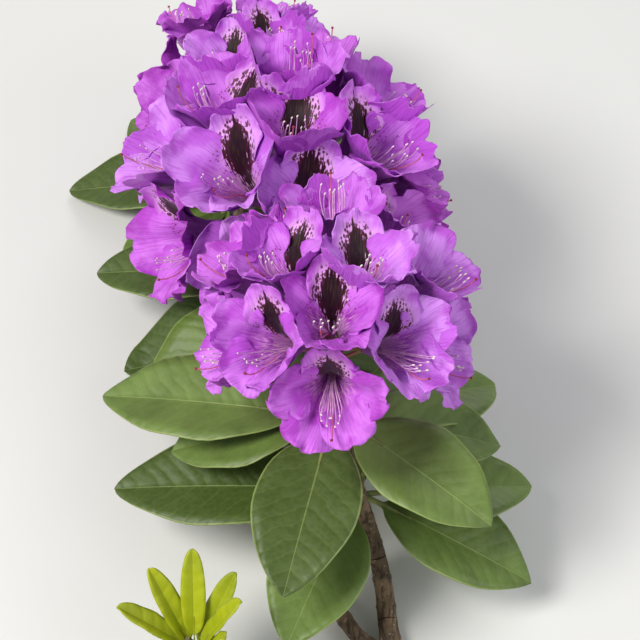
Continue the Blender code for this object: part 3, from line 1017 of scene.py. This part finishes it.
def make_bloom(name, truss, bloom, borders, petals):
    """One bloom's petals and tube in one closed sheet."""
    size = bloom_size(truss, bloom, borders)
    habit = bloom_habit(name)
    work = bmesh.new()
    layers = (work.loops.layers.uv.new("petal"), work.loops.layers.uv.new("OFBake"))
    for lobe in range(5):
        shape = mapped(lambda grid: lobe_points(grid, lobe, habit), lobe)
        add_sheet(work, ACROSS, ALONG, shape, layers)
    add_sheet(work, ACROSS * 5, TUBE_ROWS, mapped(tube_points, TUBE), layers)
    bmesh.ops.remove_doubles(work, verts=work.verts, dist=MERGE)
    mark_backs(bmesh.ops.solidify(work, geom=work.faces[:], thickness=PETAL_WALL / CM), *layers)
    upper = bloom.upper * math.cos(habit["roll"]) + bloom.side * math.sin(habit["roll"])
    side = upper.cross(bloom.facing)
    basis = np.array([side, upper, bloom.facing]) * size * CM
    throat = np.array(throat_place(truss, bloom, size) - truss.middle)
    points = np.array([vert.co for vert in work.verts]) @ basis + throat
    for vert, point in zip(work.verts, kept_in(points, bloom, borders) + np.array(truss.middle)):
        vert.co = point
    return piece(name + "_petals", mesh_from(work, name), petals, "petal", name)


blooms_made = []
for truss in trusses:
    for number, bloom in enumerate(truss.blooms, 1):
        borders = truss.borders(bloom, neighbours[truss.name])
        name = f"{truss.name}_bloom_{number:02d}"
        petals = petal_finishes[(number * 5 + len(truss.name)) % len(petal_finishes)]
        blooms_made.append(make_bloom(name, truss, bloom, borders, petals))
print("petal faces", sum(len(made.data.polygons) for made in blooms_made))

# %% [markdown]
# ## Stalks of the blooms
#
# Each bloom hangs on a thin pedicel that leaves the tip of the shoot and swells into a small green
# calyx where the tube begins. All pedicels of a truss are one piece of tapering tubes.

# %% The stalk finish
STALK_GREEN = (0.20, 0.27, 0.06, 1)
STALK_RED = (0.36, 0.13, 0.09, 1)


def fresh_stalk_finish():
    """Green stalk, flushed with red in patches."""
    made, sketch, shader = finish("fresh_stalk", 0.5)
    place = sketch.place()
    flush = sketch.ramp(sketch.noise(place, 60, 2), 0.42, 0.62)
    sketch.put(shader.inputs["Base Color"], sketch.mix(flush, STALK_GREEN, STALK_RED))
    bump(sketch, shader, sketch.noise(place, 900, 2), 0.0003)
    return made


fresh_stalk = fresh_stalk_finish()
print("finish", fresh_stalk.name)

# %% Pedicels
PEDICEL_RADII = (0.12, 0.09, 0.09, 0.10, 0.13, 0.24, 0.23)


def bezier_stem(corners, radii, steps):
    """A smooth stem through four control points, with its radius running through the given radii."""
    route = interpolate_bezier(*corners, steps)
    spots = np.linspace(0, 1, len(radii))
    return [(point, float(np.interp(i / (steps - 1), spots, radii))) for i, point in enumerate(route)]


def bloom_frame(truss, bloom):
    """The bloom's scale and where its throat is."""
    size = bloom_size(truss, bloom, truss.borders(bloom, neighbours[truss.name]))
    return size, throat_place(truss, bloom, size)


def pedicel(truss, bloom):
    """A bloom's own stalk, from the shoot's tip to the calyx."""
    size, _ = bloom_frame(truss, bloom)
    sideways = (bloom.place - truss.axis * truss.axis.dot(bloom.place)).normalized()
    root = truss.middle + truss.axis * (ROOT_TOP - ROOT_DROP * bloom.share) * CM + sideways * 0.15 * CM
    end = truss.middle + bloom.foot + bloom.facing * (CALYX_REACH * size + 0.12) * CM
    reach = (end - root).length
    leave = root + (sideways * 0.5 + bloom.facing * 0.5) * reach * 0.35
    arrive = end - bloom.facing * reach * 0.4
    radii = [radius * CM for radius in PEDICEL_RADII]
    return bezier_stem((root, leave, arrive, end), radii, 13)


for truss in trusses:
    stalks = tubes([pedicel(truss, bloom) for bloom in truss.blooms], 2)
    made = piece(truss.name + "_pedicels", stalks, fresh_stalk, "leaf")
    print(made.name, len(made.data.polygons), "faces")

# %% [markdown]
# ## Stamens and styles
#
# Nine pale filaments and one longer reddish style rise from each throat, lie along the lower lobes
# and curve up at their tips. They are Bezier tubes. The anthers are small spheres drawn out, and the
# stigma is a darker knob.

# %% Stamen finishes


def plain_finish(name, colour, roughness, grain):
    """One soft colour with a fine grain in it."""
    made, sketch, shader = finish(name, roughness)
    place = sketch.place()
    darker = tuple(channel * 0.7 for channel in colour) + (1,)
    grains = sketch.ramp(sketch.noise(place, grain, 2), 0.35, 0.65)
    sketch.put(shader.inputs["Base Color"], sketch.mix(grains, darker, (*colour, 1)))
    return made


filament_finish = plain_finish("filament", (0.86, 0.50, 0.80), 0.4, 300)
anther_finish = plain_finish("anther", (0.88, 0.80, 0.74), 0.6, 900)
style_finish = plain_finish("style", (0.66, 0.16, 0.28), 0.4, 300)
stigma_finish = plain_finish("stigma", (0.30, 0.012, 0.035), 0.35, 900)
print("finishes", [made.name for made in (filament_finish, anther_finish, style_finish, stigma_finish)])

# %% Stamens
STAMENS = 9
FILAMENT_RADII = (0.036, 0.027, 0.020)
STYLE_RADII = (0.045, 0.036, 0.032)
ANTHER = (0.042, 0.085)  # half its width and half its length
STIGMA = (0.075, 0.06)


def thread(throat, bloom, size, swing, length, drop, radii, steps):
    """A filament or style: out of the throat, down along the lower lobes and up again at its tip."""
    side = bloom.side * math.sin(swing) - bloom.upper * math.cos(swing)
    scale = CM * size
    start = throat - bloom.facing * scale + side * 0.15 * scale
    leave = throat + bloom.facing * 0.25 * length * scale + side * 0.10 * scale
    arrive = throat + bloom.facing * 0.62 * length * scale + side * drop * scale
    end = throat + bloom.facing * length * scale + side * (drop - 0.35) * scale
    return bezier_stem((start, leave, arrive, end), [radius * CM for radius in radii], steps)


def add_knob(work, stem, wide, long):
    """A small drawn-out sphere at the end of a stem."""
    tip = stem[-1][0]
    heading = (tip - stem[-2][0]).normalized()
    turn = UP.rotation_difference(heading + RIGHT * 0.4).to_matrix().to_4x4()
    shape = Matrix.Diagonal((wide * CM, wide * CM, long * CM, 1))
    bmesh.ops.create_uvsphere(
        work, u_segments=7, v_segments=5, radius=1, matrix=Matrix.Translation(tip) @ turn @ shape
    )


for truss in trusses:
    filaments = []
    styles = []
    anthers = bmesh.new()
    stigmas = bmesh.new()
    for number, bloom in enumerate(truss.blooms, 1):
        chance = random.Random(f"{truss.name} stamens {number}")
        size, throat = bloom_frame(truss, bloom)
        for i in range(STAMENS):
            swing = math.radians(-64 + 128 * (i + 0.5) / STAMENS + chance.uniform(-8, 8))
            length = chance.uniform(1.9, 2.7)
            drop = chance.uniform(0.65, 1.15)
            stem = thread(throat, bloom, size, swing, length, drop, FILAMENT_RADII, 9)
            filaments.append(stem)
            add_knob(anthers, stem, *ANTHER)
        swing = math.radians(chance.uniform(-14, 14))
        stem = thread(throat, bloom, size, swing, 2.9, 1.4, STYLE_RADII, 11)
        styles.append(stem)
        add_knob(stigmas, stem, *STIGMA)
    piece(truss.name + "_filaments", tubes(filaments, 1), filament_finish, "petal")
    piece(truss.name + "_styles", tubes(styles, 1), style_finish, "petal")
    piece(truss.name + "_anthers", mesh_from(anthers, "anthers"), anther_finish, "petal")
    piece(truss.name + "_stigmas", mesh_from(stigmas, "stigmas"), stigma_finish, "petal")
    print(truss.name, "truss:", len(filaments), "stamens and", len(styles), "styles")

# %% [markdown]
# ## Bark
#
# The stems are two or three years old: thin brown bark over green, with fine lengthwise cracks, pale
# pores and raised scars where old leaves fell. The relief that can be seen in outline is in the
# mesh, and the fine part is a bump.

# %% The bark finish
BROWN_BARK = ((0.13, 0.085, 0.05, 1), (0.26, 0.17, 0.10, 1))
GREEN_BARK = ((0.11, 0.12, 0.045, 1), (0.19, 0.18, 0.07, 1))
CRACK_BROWN = (0.035, 0.022, 0.014, 1)
PORE_GREY = (0.42, 0.34, 0.22, 1)


def build_bark_group():
    """Colour and relief of young bark, greener higher up, in the object's own coordinates."""
    tree, sketch, (place, young), result = pattern_group(
        "bark_pattern",
        {"Place": "Vector", "Young": "Float"},
        {"Color": "Color", "Height": "Float"},
    )
    x, y, z = sketch.parts(place)
    cracks = sketch.noise(sketch.vector(x, y * 0.22, z * 0.6), 520, 4)
    spread = sketch.ramp(sketch.noise(place, 70, 3), 0.38, 0.62)
    pore = sketch.ramp(sketch.cells(place, 330), 0.24, 0.14)
    brown = sketch.mix(spread, *BROWN_BARK)
    green = sketch.mix(spread, *GREEN_BARK)
    colour = sketch.mix(sketch.ramp(z, 0.03, 0.13) + young, brown, green)
    colour = sketch.mix(sketch.ramp(cracks, 0.52, 0.40) * 0.7, colour, CRACK_BROWN)
    colour = sketch.mix(pore * 0.5, colour, PORE_GREY)
    sketch.put(result["Color"], colour)
    sketch.put(result["Height"], cracks * 0.8 + pore * 0.3)
    return tree


bark_group = build_bark_group()
old_bark, green_bark = (
    patterned(name, 0.8, bark_group, {"Place": None}, {"Young": young}, 0.0008, 0.8)[0]
    for name, young in (("old_bark", 0.0), ("green_bark", 0.8))
)
print("finishes", [old_bark.name, green_bark.name])

# %% [markdown]
# ## Stems with bark relief
#
# The solids are plain tapering limbs. Here each one is drawn with more points, swells at the scars of
# old leaves, and is roughened along its normals by noise of two sizes, so its outline isn't smooth.

# %% The stems
SCAR_STEP = 1.35 * CM
SCAR_SHARE = 0.09  # half the width of a scar, as a share of that step
LUMPS = ((0.028, 1.3), (0.014, 6))  # height in centimetres, and how many to a centimetre


def denser(stem, times):
    """The same stem with more points, on a smooth line through the given ones."""
    points = curve_through([point for point, _ in stem], times)
    radii = [radius for _, radius in stem]
    spots = np.arange(len(stem)) * times
    return [(point, float(np.interp(i, spots, radii))) for i, point in enumerate(points)]


def bark_stem(name, stem, bark, *nodes):
    """A limb with swollen joints, scars and an uneven skin."""
    dense = denser(stem, 7)
    walked = 0
    swollen = []
    for i, (point, radius) in enumerate(dense):
        if i:
            walked += (point - dense[i - 1][0]).length
        off = abs((walked / SCAR_STEP) % 1 - 0.5)
        swollen.append((point, radius * (0.97 + 0.10 * math.exp(-((off / SCAR_SHARE) ** 2)))))
    mesh = tubes([swollen], 5)
    normals = [vertex.normal.copy() for vertex in mesh.vertices]
    for vertex, normal in zip(mesh.vertices, normals):
        place = vertex.co / CM
        lump = sum(height * noise.noise(place * often) for height, often in LUMPS)
        vertex.co += normal * lump * CM
    return piece(name, mesh, bark, "bark", *nodes)


stems = {
    "main_stem": (main_stem, old_bark),
    "front_shoot": (front_shoot, old_bark),
    "middle_shoot": (middle_shoot, old_bark),
    "back_shoot": (back_shoot, old_bark),
    "young_shoot": (young_shoot, green_bark),
    "front_truss_stalk": (front_stalk, green_bark),
    "middle_truss_stalk": (middle_stalk, green_bark),
    "back_truss_stalk": (back_stalk, green_bark),
}
for name, (stem, bark) in stems.items():
    bark_stem(name + "_bark", stem, bark, name)
whorl_stems = {
    "lower_leaves": lower_stem,
    "front_leaves": front_stem,
    "middle_leaves": middle_stem,
    "back_leaves": back_stem,
    "young_leaves": young_stem,
}
for name, stem in whorl_stems.items():
    bark_stem(name + "_stem", stem, green_bark if name == "young_leaves" else old_bark, name)
print("stems", len(stems) + len(whorl_stems))

# %% [markdown]
# ## The leaves' pattern
#
# A leaf's map is in centimetres too: across from the midrib and along from the stalk. Side veins
# are lines that climb as they go out, and the blade swells a little between them. Leaves lie 10 cm
# apart on the map, so each takes its own tone, and the backs are paler and matt. A second map, in
# shares of the blade, gives the pale margin and the rib that thins toward the tip.

# %% The leaf's map
LEAF_STEP = 10
LEAF_BACK = 300
VEIN_STEP = 0.82
VEIN_CLIMB = 0.85
RIB_TIP = 0.025
RIB_FOOT = 0.055  # what the rib's half width has at its foot more than at its tip


class LeafSpot:
    """A point of a leaf, and how much of a vein, rib, margin, net and cloud is there."""

    def __init__(self, sketch, surface, blade):
        u, along, _ = sketch.parts(surface)
        over, share, _ = sketch.parts(blade)
        self.leaf = sketch.math("FLOOR", (u + LEAF_STEP / 2) / LEAF_STEP)
        self.behind = sketch.math("GREATER_THAN", u, LEAF_BACK - LEAF_STEP)
        across = u - self.leaf * LEAF_STEP
        away = abs(across)
        place = sketch.vector(across, along, self.leaf)
        climb = along - away * VEIN_CLIMB + (sketch.noise(place, 0.8, 2) - 0.5) * 0.9
        self.off_vein = abs(sketch.math("FRACT", climb / VEIN_STEP) - 0.5)
        self.vein = sketch.ramp(self.off_vein, 0.075, 0.012)
        rib_half = (1 - share) * RIB_FOOT + RIB_TIP
        self.rib = sketch.ramp(away, rib_half, rib_half * 0.4)
        self.margin = sketch.ramp(abs(over), 0.955, 0.985)
        self.net = sketch.cells(place, 4.2)
        self.clouds = sketch.noise(place, 0.45, 3)


# %% The leaf group


def build_leaf_group():
    """Colour, roughness and relief of a leathery leaf from its own maps."""
    colours = {"Dark": "Color", "Light": "Color", "Rib": "Color", "Back": "Color"}
    tree, sketch, (surface, blade, dark, light, rib_tone, back_tone), result = pattern_group(
        "leaf_pattern",
        {"Map": "Vector", "Blade": "Vector", **colours},
        {"Color": "Color", "Roughness": "Float", "Height": "Float"},
    )
    ramp, mix = sketch.ramp, sketch.mix
    spot = LeafSpot(sketch, surface, blade)
    tone = sketch.noise(sketch.vector(spot.leaf, 0.0, 0.5), 3.1, 0)
    colour = mix(ramp(tone * 0.9 + spot.clouds * 0.6, 0.50, 1.0), dark, light)
    mesh_of_veins = ramp(spot.net, 0.42, 0.62)
    for mask, share in ((spot.vein, 0.09), (mesh_of_veins, 0.05), (spot.rib, 0.42), (spot.margin, 0.65)):
        colour = mix(mask * share, colour, rib_tone)
    raised = sketch.math("MAXIMUM", spot.rib, spot.vein * 0.4)
    under = mix(raised * 0.7, back_tone, rib_tone)
    swell = ramp(spot.off_vein, 0.0, 0.42)
    sketch.put(result["Color"], mix(spot.behind, colour, under))
    sketch.put(result["Roughness"], spot.clouds * 0.16 + 0.44 + spot.behind * 0.25)
    sketch.put(result["Height"], swell * 0.75 + spot.net * 0.22 - spot.rib * 0.6)
    return tree


leaf_group = build_leaf_group()
print("the leaf pattern has", len(leaf_group.nodes), "nodes")

# %% The leaf finishes


def leaf_finish(name, relief, dark, light, rib_tone, back_tone):
    """A leaf's finish, from its two maps."""
    values = {"Dark": dark, "Light": light, "Rib": rib_tone, "Back": back_tone}
    return patterned(name, 0.4, leaf_group, {"Map": "leaf", "Blade": "blade"}, values, relief)[0]


leathery = leaf_finish(
    "leathery_leaf",
    0.0004,
    (0.058, 0.096, 0.014, 1),
    (0.160, 0.245, 0.050, 1),
    (0.30, 0.38, 0.11, 1),
    (0.17, 0.22, 0.10, 1),
)
tender = leaf_finish(
    "young_leaf",
    0.0003,
    (0.25, 0.31, 0.004, 1),
    (0.42, 0.47, 0.008, 1),
    (0.48, 0.53, 0.03, 1),
    (0.31, 0.38, 0.03, 1),
)
petiole_finish = plain_finish("petiole", (0.24, 0.27, 0.08), 0.5, 200)
young_petiole = plain_finish("young_petiole", (0.40, 0.44, 0.03), 0.5, 200)
print("finishes", [made.name for made in (leathery, tender, petiole_finish, young_petiole)])

# %% [markdown]
# ## Where the leaves lie
#
# Leaves stand in a whorl round the top of each year's growth. The ones that the picture shows have
# their own angles, and the others fill the gaps. The solids lower or shorten a leaf until it is
# clear of its neighbours. Rather than work that out again, the script tries the same few choices
# and keeps the one whose midline lies in the solid.

# %% Whorls
HIDDEN_SHARE = 0.92  # the length of a leaf that the picture hides
LEAF_RISE = 0.12  # centimetres from one leaf's foot to the next one's
TRIED_SCALES = (1.0, 0.86, 0.74, 0.62)
TRIED_SINKS = (0.0, 0.22, 0.45, -0.22, 0.7)
PROBES = (0.58, 0.82, 1.0)  # shares of the midline that are looked for in the solid
WITHIN = 0.0009


def whorl(stem, axis, seen, count, length, width, lowered, open_side=0):
    """Leaves round the top of a stem: those that are seen by their angles, the rest in the gaps."""
    top = stem[-2][0]
    near = RIGHT.cross(axis)
    turns = [math.radians(turn) for turn, *_ in seen]
    spots = [math.radians(turn) for turn in range(-180, 180, 5) if abs(turn) >= open_side]
    shapes = list(seen)
    while len(shapes) < count:
        emptiest = max(spots, key=lambda spot: min(1 - math.cos(spot - turn) for turn in turns))
        turns.append(emptiest)
        shapes.append((math.degrees(emptiest), lowered + 6 * (len(shapes) % 3), HIDDEN_SHARE))
    leaves = []
    for i, (turn, droop, share) in enumerate(shapes):
        turn = math.radians(turn)
        droop = math.radians(droop)
        across = near * math.cos(turn) + RIGHT * math.sin(turn)
        level = Vector((across.x, across.y, 0)).normalized()
        heading = level * math.cos(droop) - UP * math.sin(droop)
        root = top - axis * i * LEAF_RISE * CM
        rest = LEAF_THICKNESS * CM * (1 + 0.13 * i)
        broad = width * (1 + share) / 2
        leaves.append((root, heading, length * share * CM, broad * CM, rest))
    return leaves


def leaf_place(root, heading, length, rest, share):
    """A point of the leaf's midline."""
    point = root + heading * length * share - UP * LEAF_ARCH * length * share * share
    point.z = max(point.z, rest)
    return point


def node_tree(name):
    """A search tree of a solid, in the coordinates that the branch is worked out in."""
    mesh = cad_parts[name].data
    mesh.calc_loop_triangles()
    corners = [vertex.co + SHIFT for vertex in mesh.vertices]
    return BVHTree.FromPolygons(corners, [triangle.vertices for triangle in mesh.loop_triangles])


def settled(leaf, tree):
    """The leaf as its solid has it, or None where the solid has left it out."""
    root, heading, length, width, rest = leaf
    for scale in TRIED_SCALES:
        for sink in TRIED_SINKS:
            aim = (heading - UP * sink).normalized()
            line = [leaf_place(root, aim, length * scale, rest, share) for share in PROBES]
            if all(tree.find_nearest(point)[3] < WITHIN for point in line):
                return root, aim, length * scale, width * scale, rest
    return None


# %% [markdown]
# ## One leaf
#
# A leaf is a grid drawn out to its outline: folded a little along the midrib, waved along its edge
# and rolled under at the margin. Its wall comes from Solidify's operator.

# %% Leaves
LEAF_COLUMNS = 10
LEAF_ROWS = 26
LEAF_WALL = 0.0006
LEAF_CLEAR = 0.0012  # how far a blade stays over the ground
BLADE_FROM = 0.13  # the share of a leaf's length at which its blade begins
OLD_HABIT = (0.70, LEAF_FOLD, 0.09)  # bluntness, fold and waves
YOUNG_HABIT = (0.36, 1.7 * LEAF_FOLD, 0.03)
ROLLED_EDGE = 0.10  # centimetres that the edge rolls under, and that the rib lies deep and wide
RIB_SINK = 0.05
RIB_WIDTH = 0.13


def blade_share(share, bluntness):
    """Half the blade's width at a share of the leaf's length, as a share of its widest."""
    blade = np.clip((share - PETIOLE_SHARE) / (1 - PETIOLE_SHARE), 0, 1)
    return np.clip(np.sin(math.pi * blade**0.92) ** bluntness, 0, 1)


def leaf_relief(s, share, half, across, fold, wave, chance):
    """How far each point stands over the midline: fold, waves, rolled edge and sunken rib."""
    blade = np.clip((share - PETIOLE_SHARE) / 0.3, 0, 1)
    waves = math.sin(chance.uniform(0, 3)) + 2.6
    phase = chance.uniform(0, 6.28)
    rise = half * math.sin(fold) * np.abs(s) ** 1.25
    rise += wave * CM * blade * s * s * np.sin(2 * math.pi * waves * share + phase + 1.3 * np.sign(s))
    rise -= ROLLED_EDGE * CM * blade * np.abs(s) ** 6
    rise -= RIB_SINK * CM * np.exp(-((across / (RIB_WIDTH * CM)) ** 2)) * blade
    return rise


def leaf_points(grid, leaf, young, chance):
    """Places of a leaf's blade, its map in centimetres, and its map in shares of the blade."""
    root, heading, length, width, rest = leaf
    bluntness, fold, wave = YOUNG_HABIT if young else OLD_HABIT
    s = np.sign(grid[:, 0]) * np.abs(grid[:, 0]) ** 1.35
    share = BLADE_FROM + (1 - BLADE_FROM) * (np.sin(math.pi / 2 * grid[:, 1]) + 1) / 2
    side = np.array(heading.cross(UP).normalized())
    heading = np.array(heading)
    up = np.array(UP)
    middle_line = np.array(root) + np.outer(share, heading) * length
    middle_line -= np.outer(share**2, up) * LEAF_ARCH * length
    middle_line[:, 2] = np.maximum(middle_line[:, 2], rest)
    tangent = heading - np.outer(2 * share * LEAF_ARCH, up)
    tangent /= np.linalg.norm(tangent, axis=1)[:, None]
    normal = np.cross(side, tangent)
    half = width / 2 * np.maximum(blade_share(share, bluntness), PETIOLE_WIDTH * (1.05 - share))
    across = half * s * math.cos(fold)
    rise = leaf_relief(s, share, half, across, fold, wave, chance)
    places = middle_line + np.outer(across, side) + normal * rise[:, None]
    places[:, 2] = np.maximum(places[:, 2], LEAF_CLEAR)
    return places, np.column_stack([across / CM, share * length / CM]), np.column_stack([s, share])


def leaf_cell(cell, cells, local):
    """Where a point of a leaf lies on the whorl's colour map."""
    columns = math.ceil(math.sqrt(2 * cells))
    rows = math.ceil(cells / columns)
    u = (cell % columns + 0.04 + 0.92 * local[0]) / columns
    v = (cell // columns + 0.03 + 0.94 * local[1]) / rows
    return u, v


def whorl_mesh(name, leaves, young):
    """All blades of a whorl as one mesh of closed leaves."""
    work = bmesh.new()
    layers = [work.loops.layers.uv.new(label) for label in ("leaf", "blade", "OFBake")]
    cells = 2 * len(leaves)
    for number, leaf in enumerate(leaves):
        chance = random.Random(f"{name} {number}")

        def shape(grid):
            points, pattern, blade = leaf_points(grid, leaf, young, chance)
            baked = np.column_stack(leaf_cell(number, cells, (grid.T + 1) / 2))
            return points, pattern + (LEAF_STEP * number, 0), blade, baked

        faces = add_sheet(work, LEAF_COLUMNS, LEAF_ROWS, shape, layers)
        for face in faces:
            face.normal_update()
        back = bmesh.ops.solidify(work, geom=faces, thickness=LEAF_WALL)
        shift = Vector(leaf_cell(number + len(leaves), cells, (0, 0)))
        shift -= Vector(leaf_cell(number, cells, (0, 0)))
        pattern, _, bake = layers
        for face in back["geom"]:
            if isinstance(face, bmesh.types.BMFace):
                for loop in face.loops:
                    loop[bake].uv += shift
                    loop[pattern].uv.x += LEAF_BACK
    for vert in work.verts:
        vert.co.z = max(vert.co.z, LEAF_WALL)
    return mesh_from(work, name)


print("a leaf's front has", LEAF_COLUMNS * LEAF_ROWS, "faces")

# %% [markdown]
# ## All the whorls
#
# Each row of angles is a leaf that the picture shows: degrees round the stem from the near side, how
# far it points down, and its share of the full length. The whorls keep their solids' order, so a
# leaf that has been lowered or shortened there is found again.

# %% All the whorls
seen_low = ((-93, -2, 1.08), (-22, -2, 0.80), (68, 11, 0.84), (99, 2, 0.80), (168, 14, 0.95))
seen_front = (
    (-13, -3, 0.92),
    (49, -3, 0.85),
    (92, 26, 0.76),
    (-90, 26, 0.74),
    (-103, 2, 1.06),
    (-139, 5, 0.93),
    (123, 16, 0.93),
)
full = (LEAF_LENGTH, LEAF_WIDTH)
whorls = {
    "lower_leaves": (lower_stem, front.axis, seen_low, 5, *full, 16),
    "front_leaves": (front_stem, front.axis, seen_front, 9, *full, 26, 110),
    "middle_leaves": (middle_stem, middle.axis, ((-97, 2, 0.95),), 9, *full, 12),
    "back_leaves": (back_stem, back.axis, ((-92, 0, 0.95),), 9, *full, 4),
    "young_leaves": (young_stem, UP, ((0, -60, 1.0),), 8, YOUNG_LENGTH, YOUNG_WIDTH, -66),
}
# Shares of a leaf's length, and the petiole's radius there as a share of the leaf's width
PETIOLE = ((0, 0.042), (0.05, 0.034), (0.1, 0.030), (0.15, 0.027), (0.22, 0.020), (0.32, 0.010))


def petiole(root, heading, length, width, rest):
    """The stalk of a leaf, which runs out in its midrib."""
    line = [(leaf_place(root, heading, length, rest, share), thick) for share, thick in PETIOLE]
    return [(point, width * thick) for point, thick in line]


for name, shape in whorls.items():
    tree = node_tree(name)
    leaves = [leaf for leaf in (settled(leaf, tree) for leaf in whorl(*shape)) if leaf]
    young = name == "young_leaves"
    skin, stalk_skin, slot = leathery, petiole_finish, "leaf"
    if young:
        skin, stalk_skin, slot = tender, young_petiole, "young_leaf"
    blades = piece(name + "_blades", whorl_mesh(name, leaves, young), skin, slot, name)
    piece(name + "_petioles", tubes([petiole(*leaf) for leaf in leaves], 2), stalk_skin, slot)
    print(name, len(leaves), "leaves of", len(whorl(*shape)), "with", len(blades.data.polygons), "faces")

# %% [markdown]
# ## The studio
#
# The branch lies on a plain pale floor under soft light: one large light from the upper left, as in
# the picture, a weaker one to the right, and one behind that rims the petals. The camera looks down
# at the branch at the picture's angle, with the near truss at the picture's place and size.

# %% Floor, light and camera


def stage_floor():
    """A wide pale floor under the branch."""
    made, _, shader = finish("pale_floor", 0.9)
    shader.inputs["Base Color"].default_value = (0.72, 0.72, 0.70, 1)
    work = bmesh.new()
    bmesh.ops.create_grid(work, x_segments=1, y_segments=1, size=6)
    floor = bpy.data.objects.new("floor", mesh_from(work, "floor"))
    floor.data.materials.append(made)
    bpy.context.scene.collection.objects.link(floor)


def soft_light(name, place, aim, size, power, colour):
    """A square light that looks at a point."""
    light = bpy.data.lights.new(name, "AREA")
    light.size = size
    light.energy = power
    light.color = colour
    made = bpy.data.objects.new(name, light)
    made.location = place
    made.rotation_euler = (Vector(aim) - Vector(place)).to_track_quat("-Z", "Y").to_euler()
    bpy.context.scene.collection.objects.link(made)


stage_floor()
aim = front.middle - SHIFT
soft_light("key", (-0.75, -0.55, 1.25), aim, 0.55, 22, (1.0, 0.98, 0.95))
soft_light("fill", (1.0, -0.5, 0.7), aim, 1.0, 5, (0.93, 0.96, 1.0))
soft_light("rim", (0.3, 1.2, 0.8), aim, 0.7, 6, (1.0, 1.0, 1.0))
world = bpy.data.worlds.new("studio")
world.use_nodes = True
world.node_tree.nodes["Background"].inputs["Color"].default_value = (0.86, 0.88, 0.90, 1)
world.node_tree.nodes["Background"].inputs["Strength"].default_value = 0.36
bpy.context.scene.world = world
bpy.context.scene.view_settings.view_transform = "Standard"

ELEVATION = math.radians(50)
DISTANCE = 0.80
PIXELS_PER_CM = 22.5
FRAME = 640
TRUSS_PIXEL = (335, 320)
up = Vector((0, math.sin(ELEVATION), math.cos(ELEVATION)))
toward = Vector((0, -math.cos(ELEVATION), math.sin(ELEVATION)))
offset = RIGHT * (FRAME / 2 - TRUSS_PIXEL[0]) + up * (TRUSS_PIXEL[1] - FRAME / 2)
lens = bpy.data.cameras.new("camera")
lens.lens = lens.sensor_width * DISTANCE / (FRAME / PIXELS_PER_CM * CM)
camera = bpy.data.objects.new("camera", lens)
basis = Matrix((RIGHT, up, toward)).transposed().to_4x4()
camera.matrix_world = Matrix.Translation(aim + offset / PIXELS_PER_CM * CM + toward * DISTANCE) @ basis
bpy.context.scene.collection.objects.link(camera)
bpy.context.scene.camera = camera
print("lens", round(lens.lens, 1), "mm")

# %% The end
bpy.context.view_layer.update()
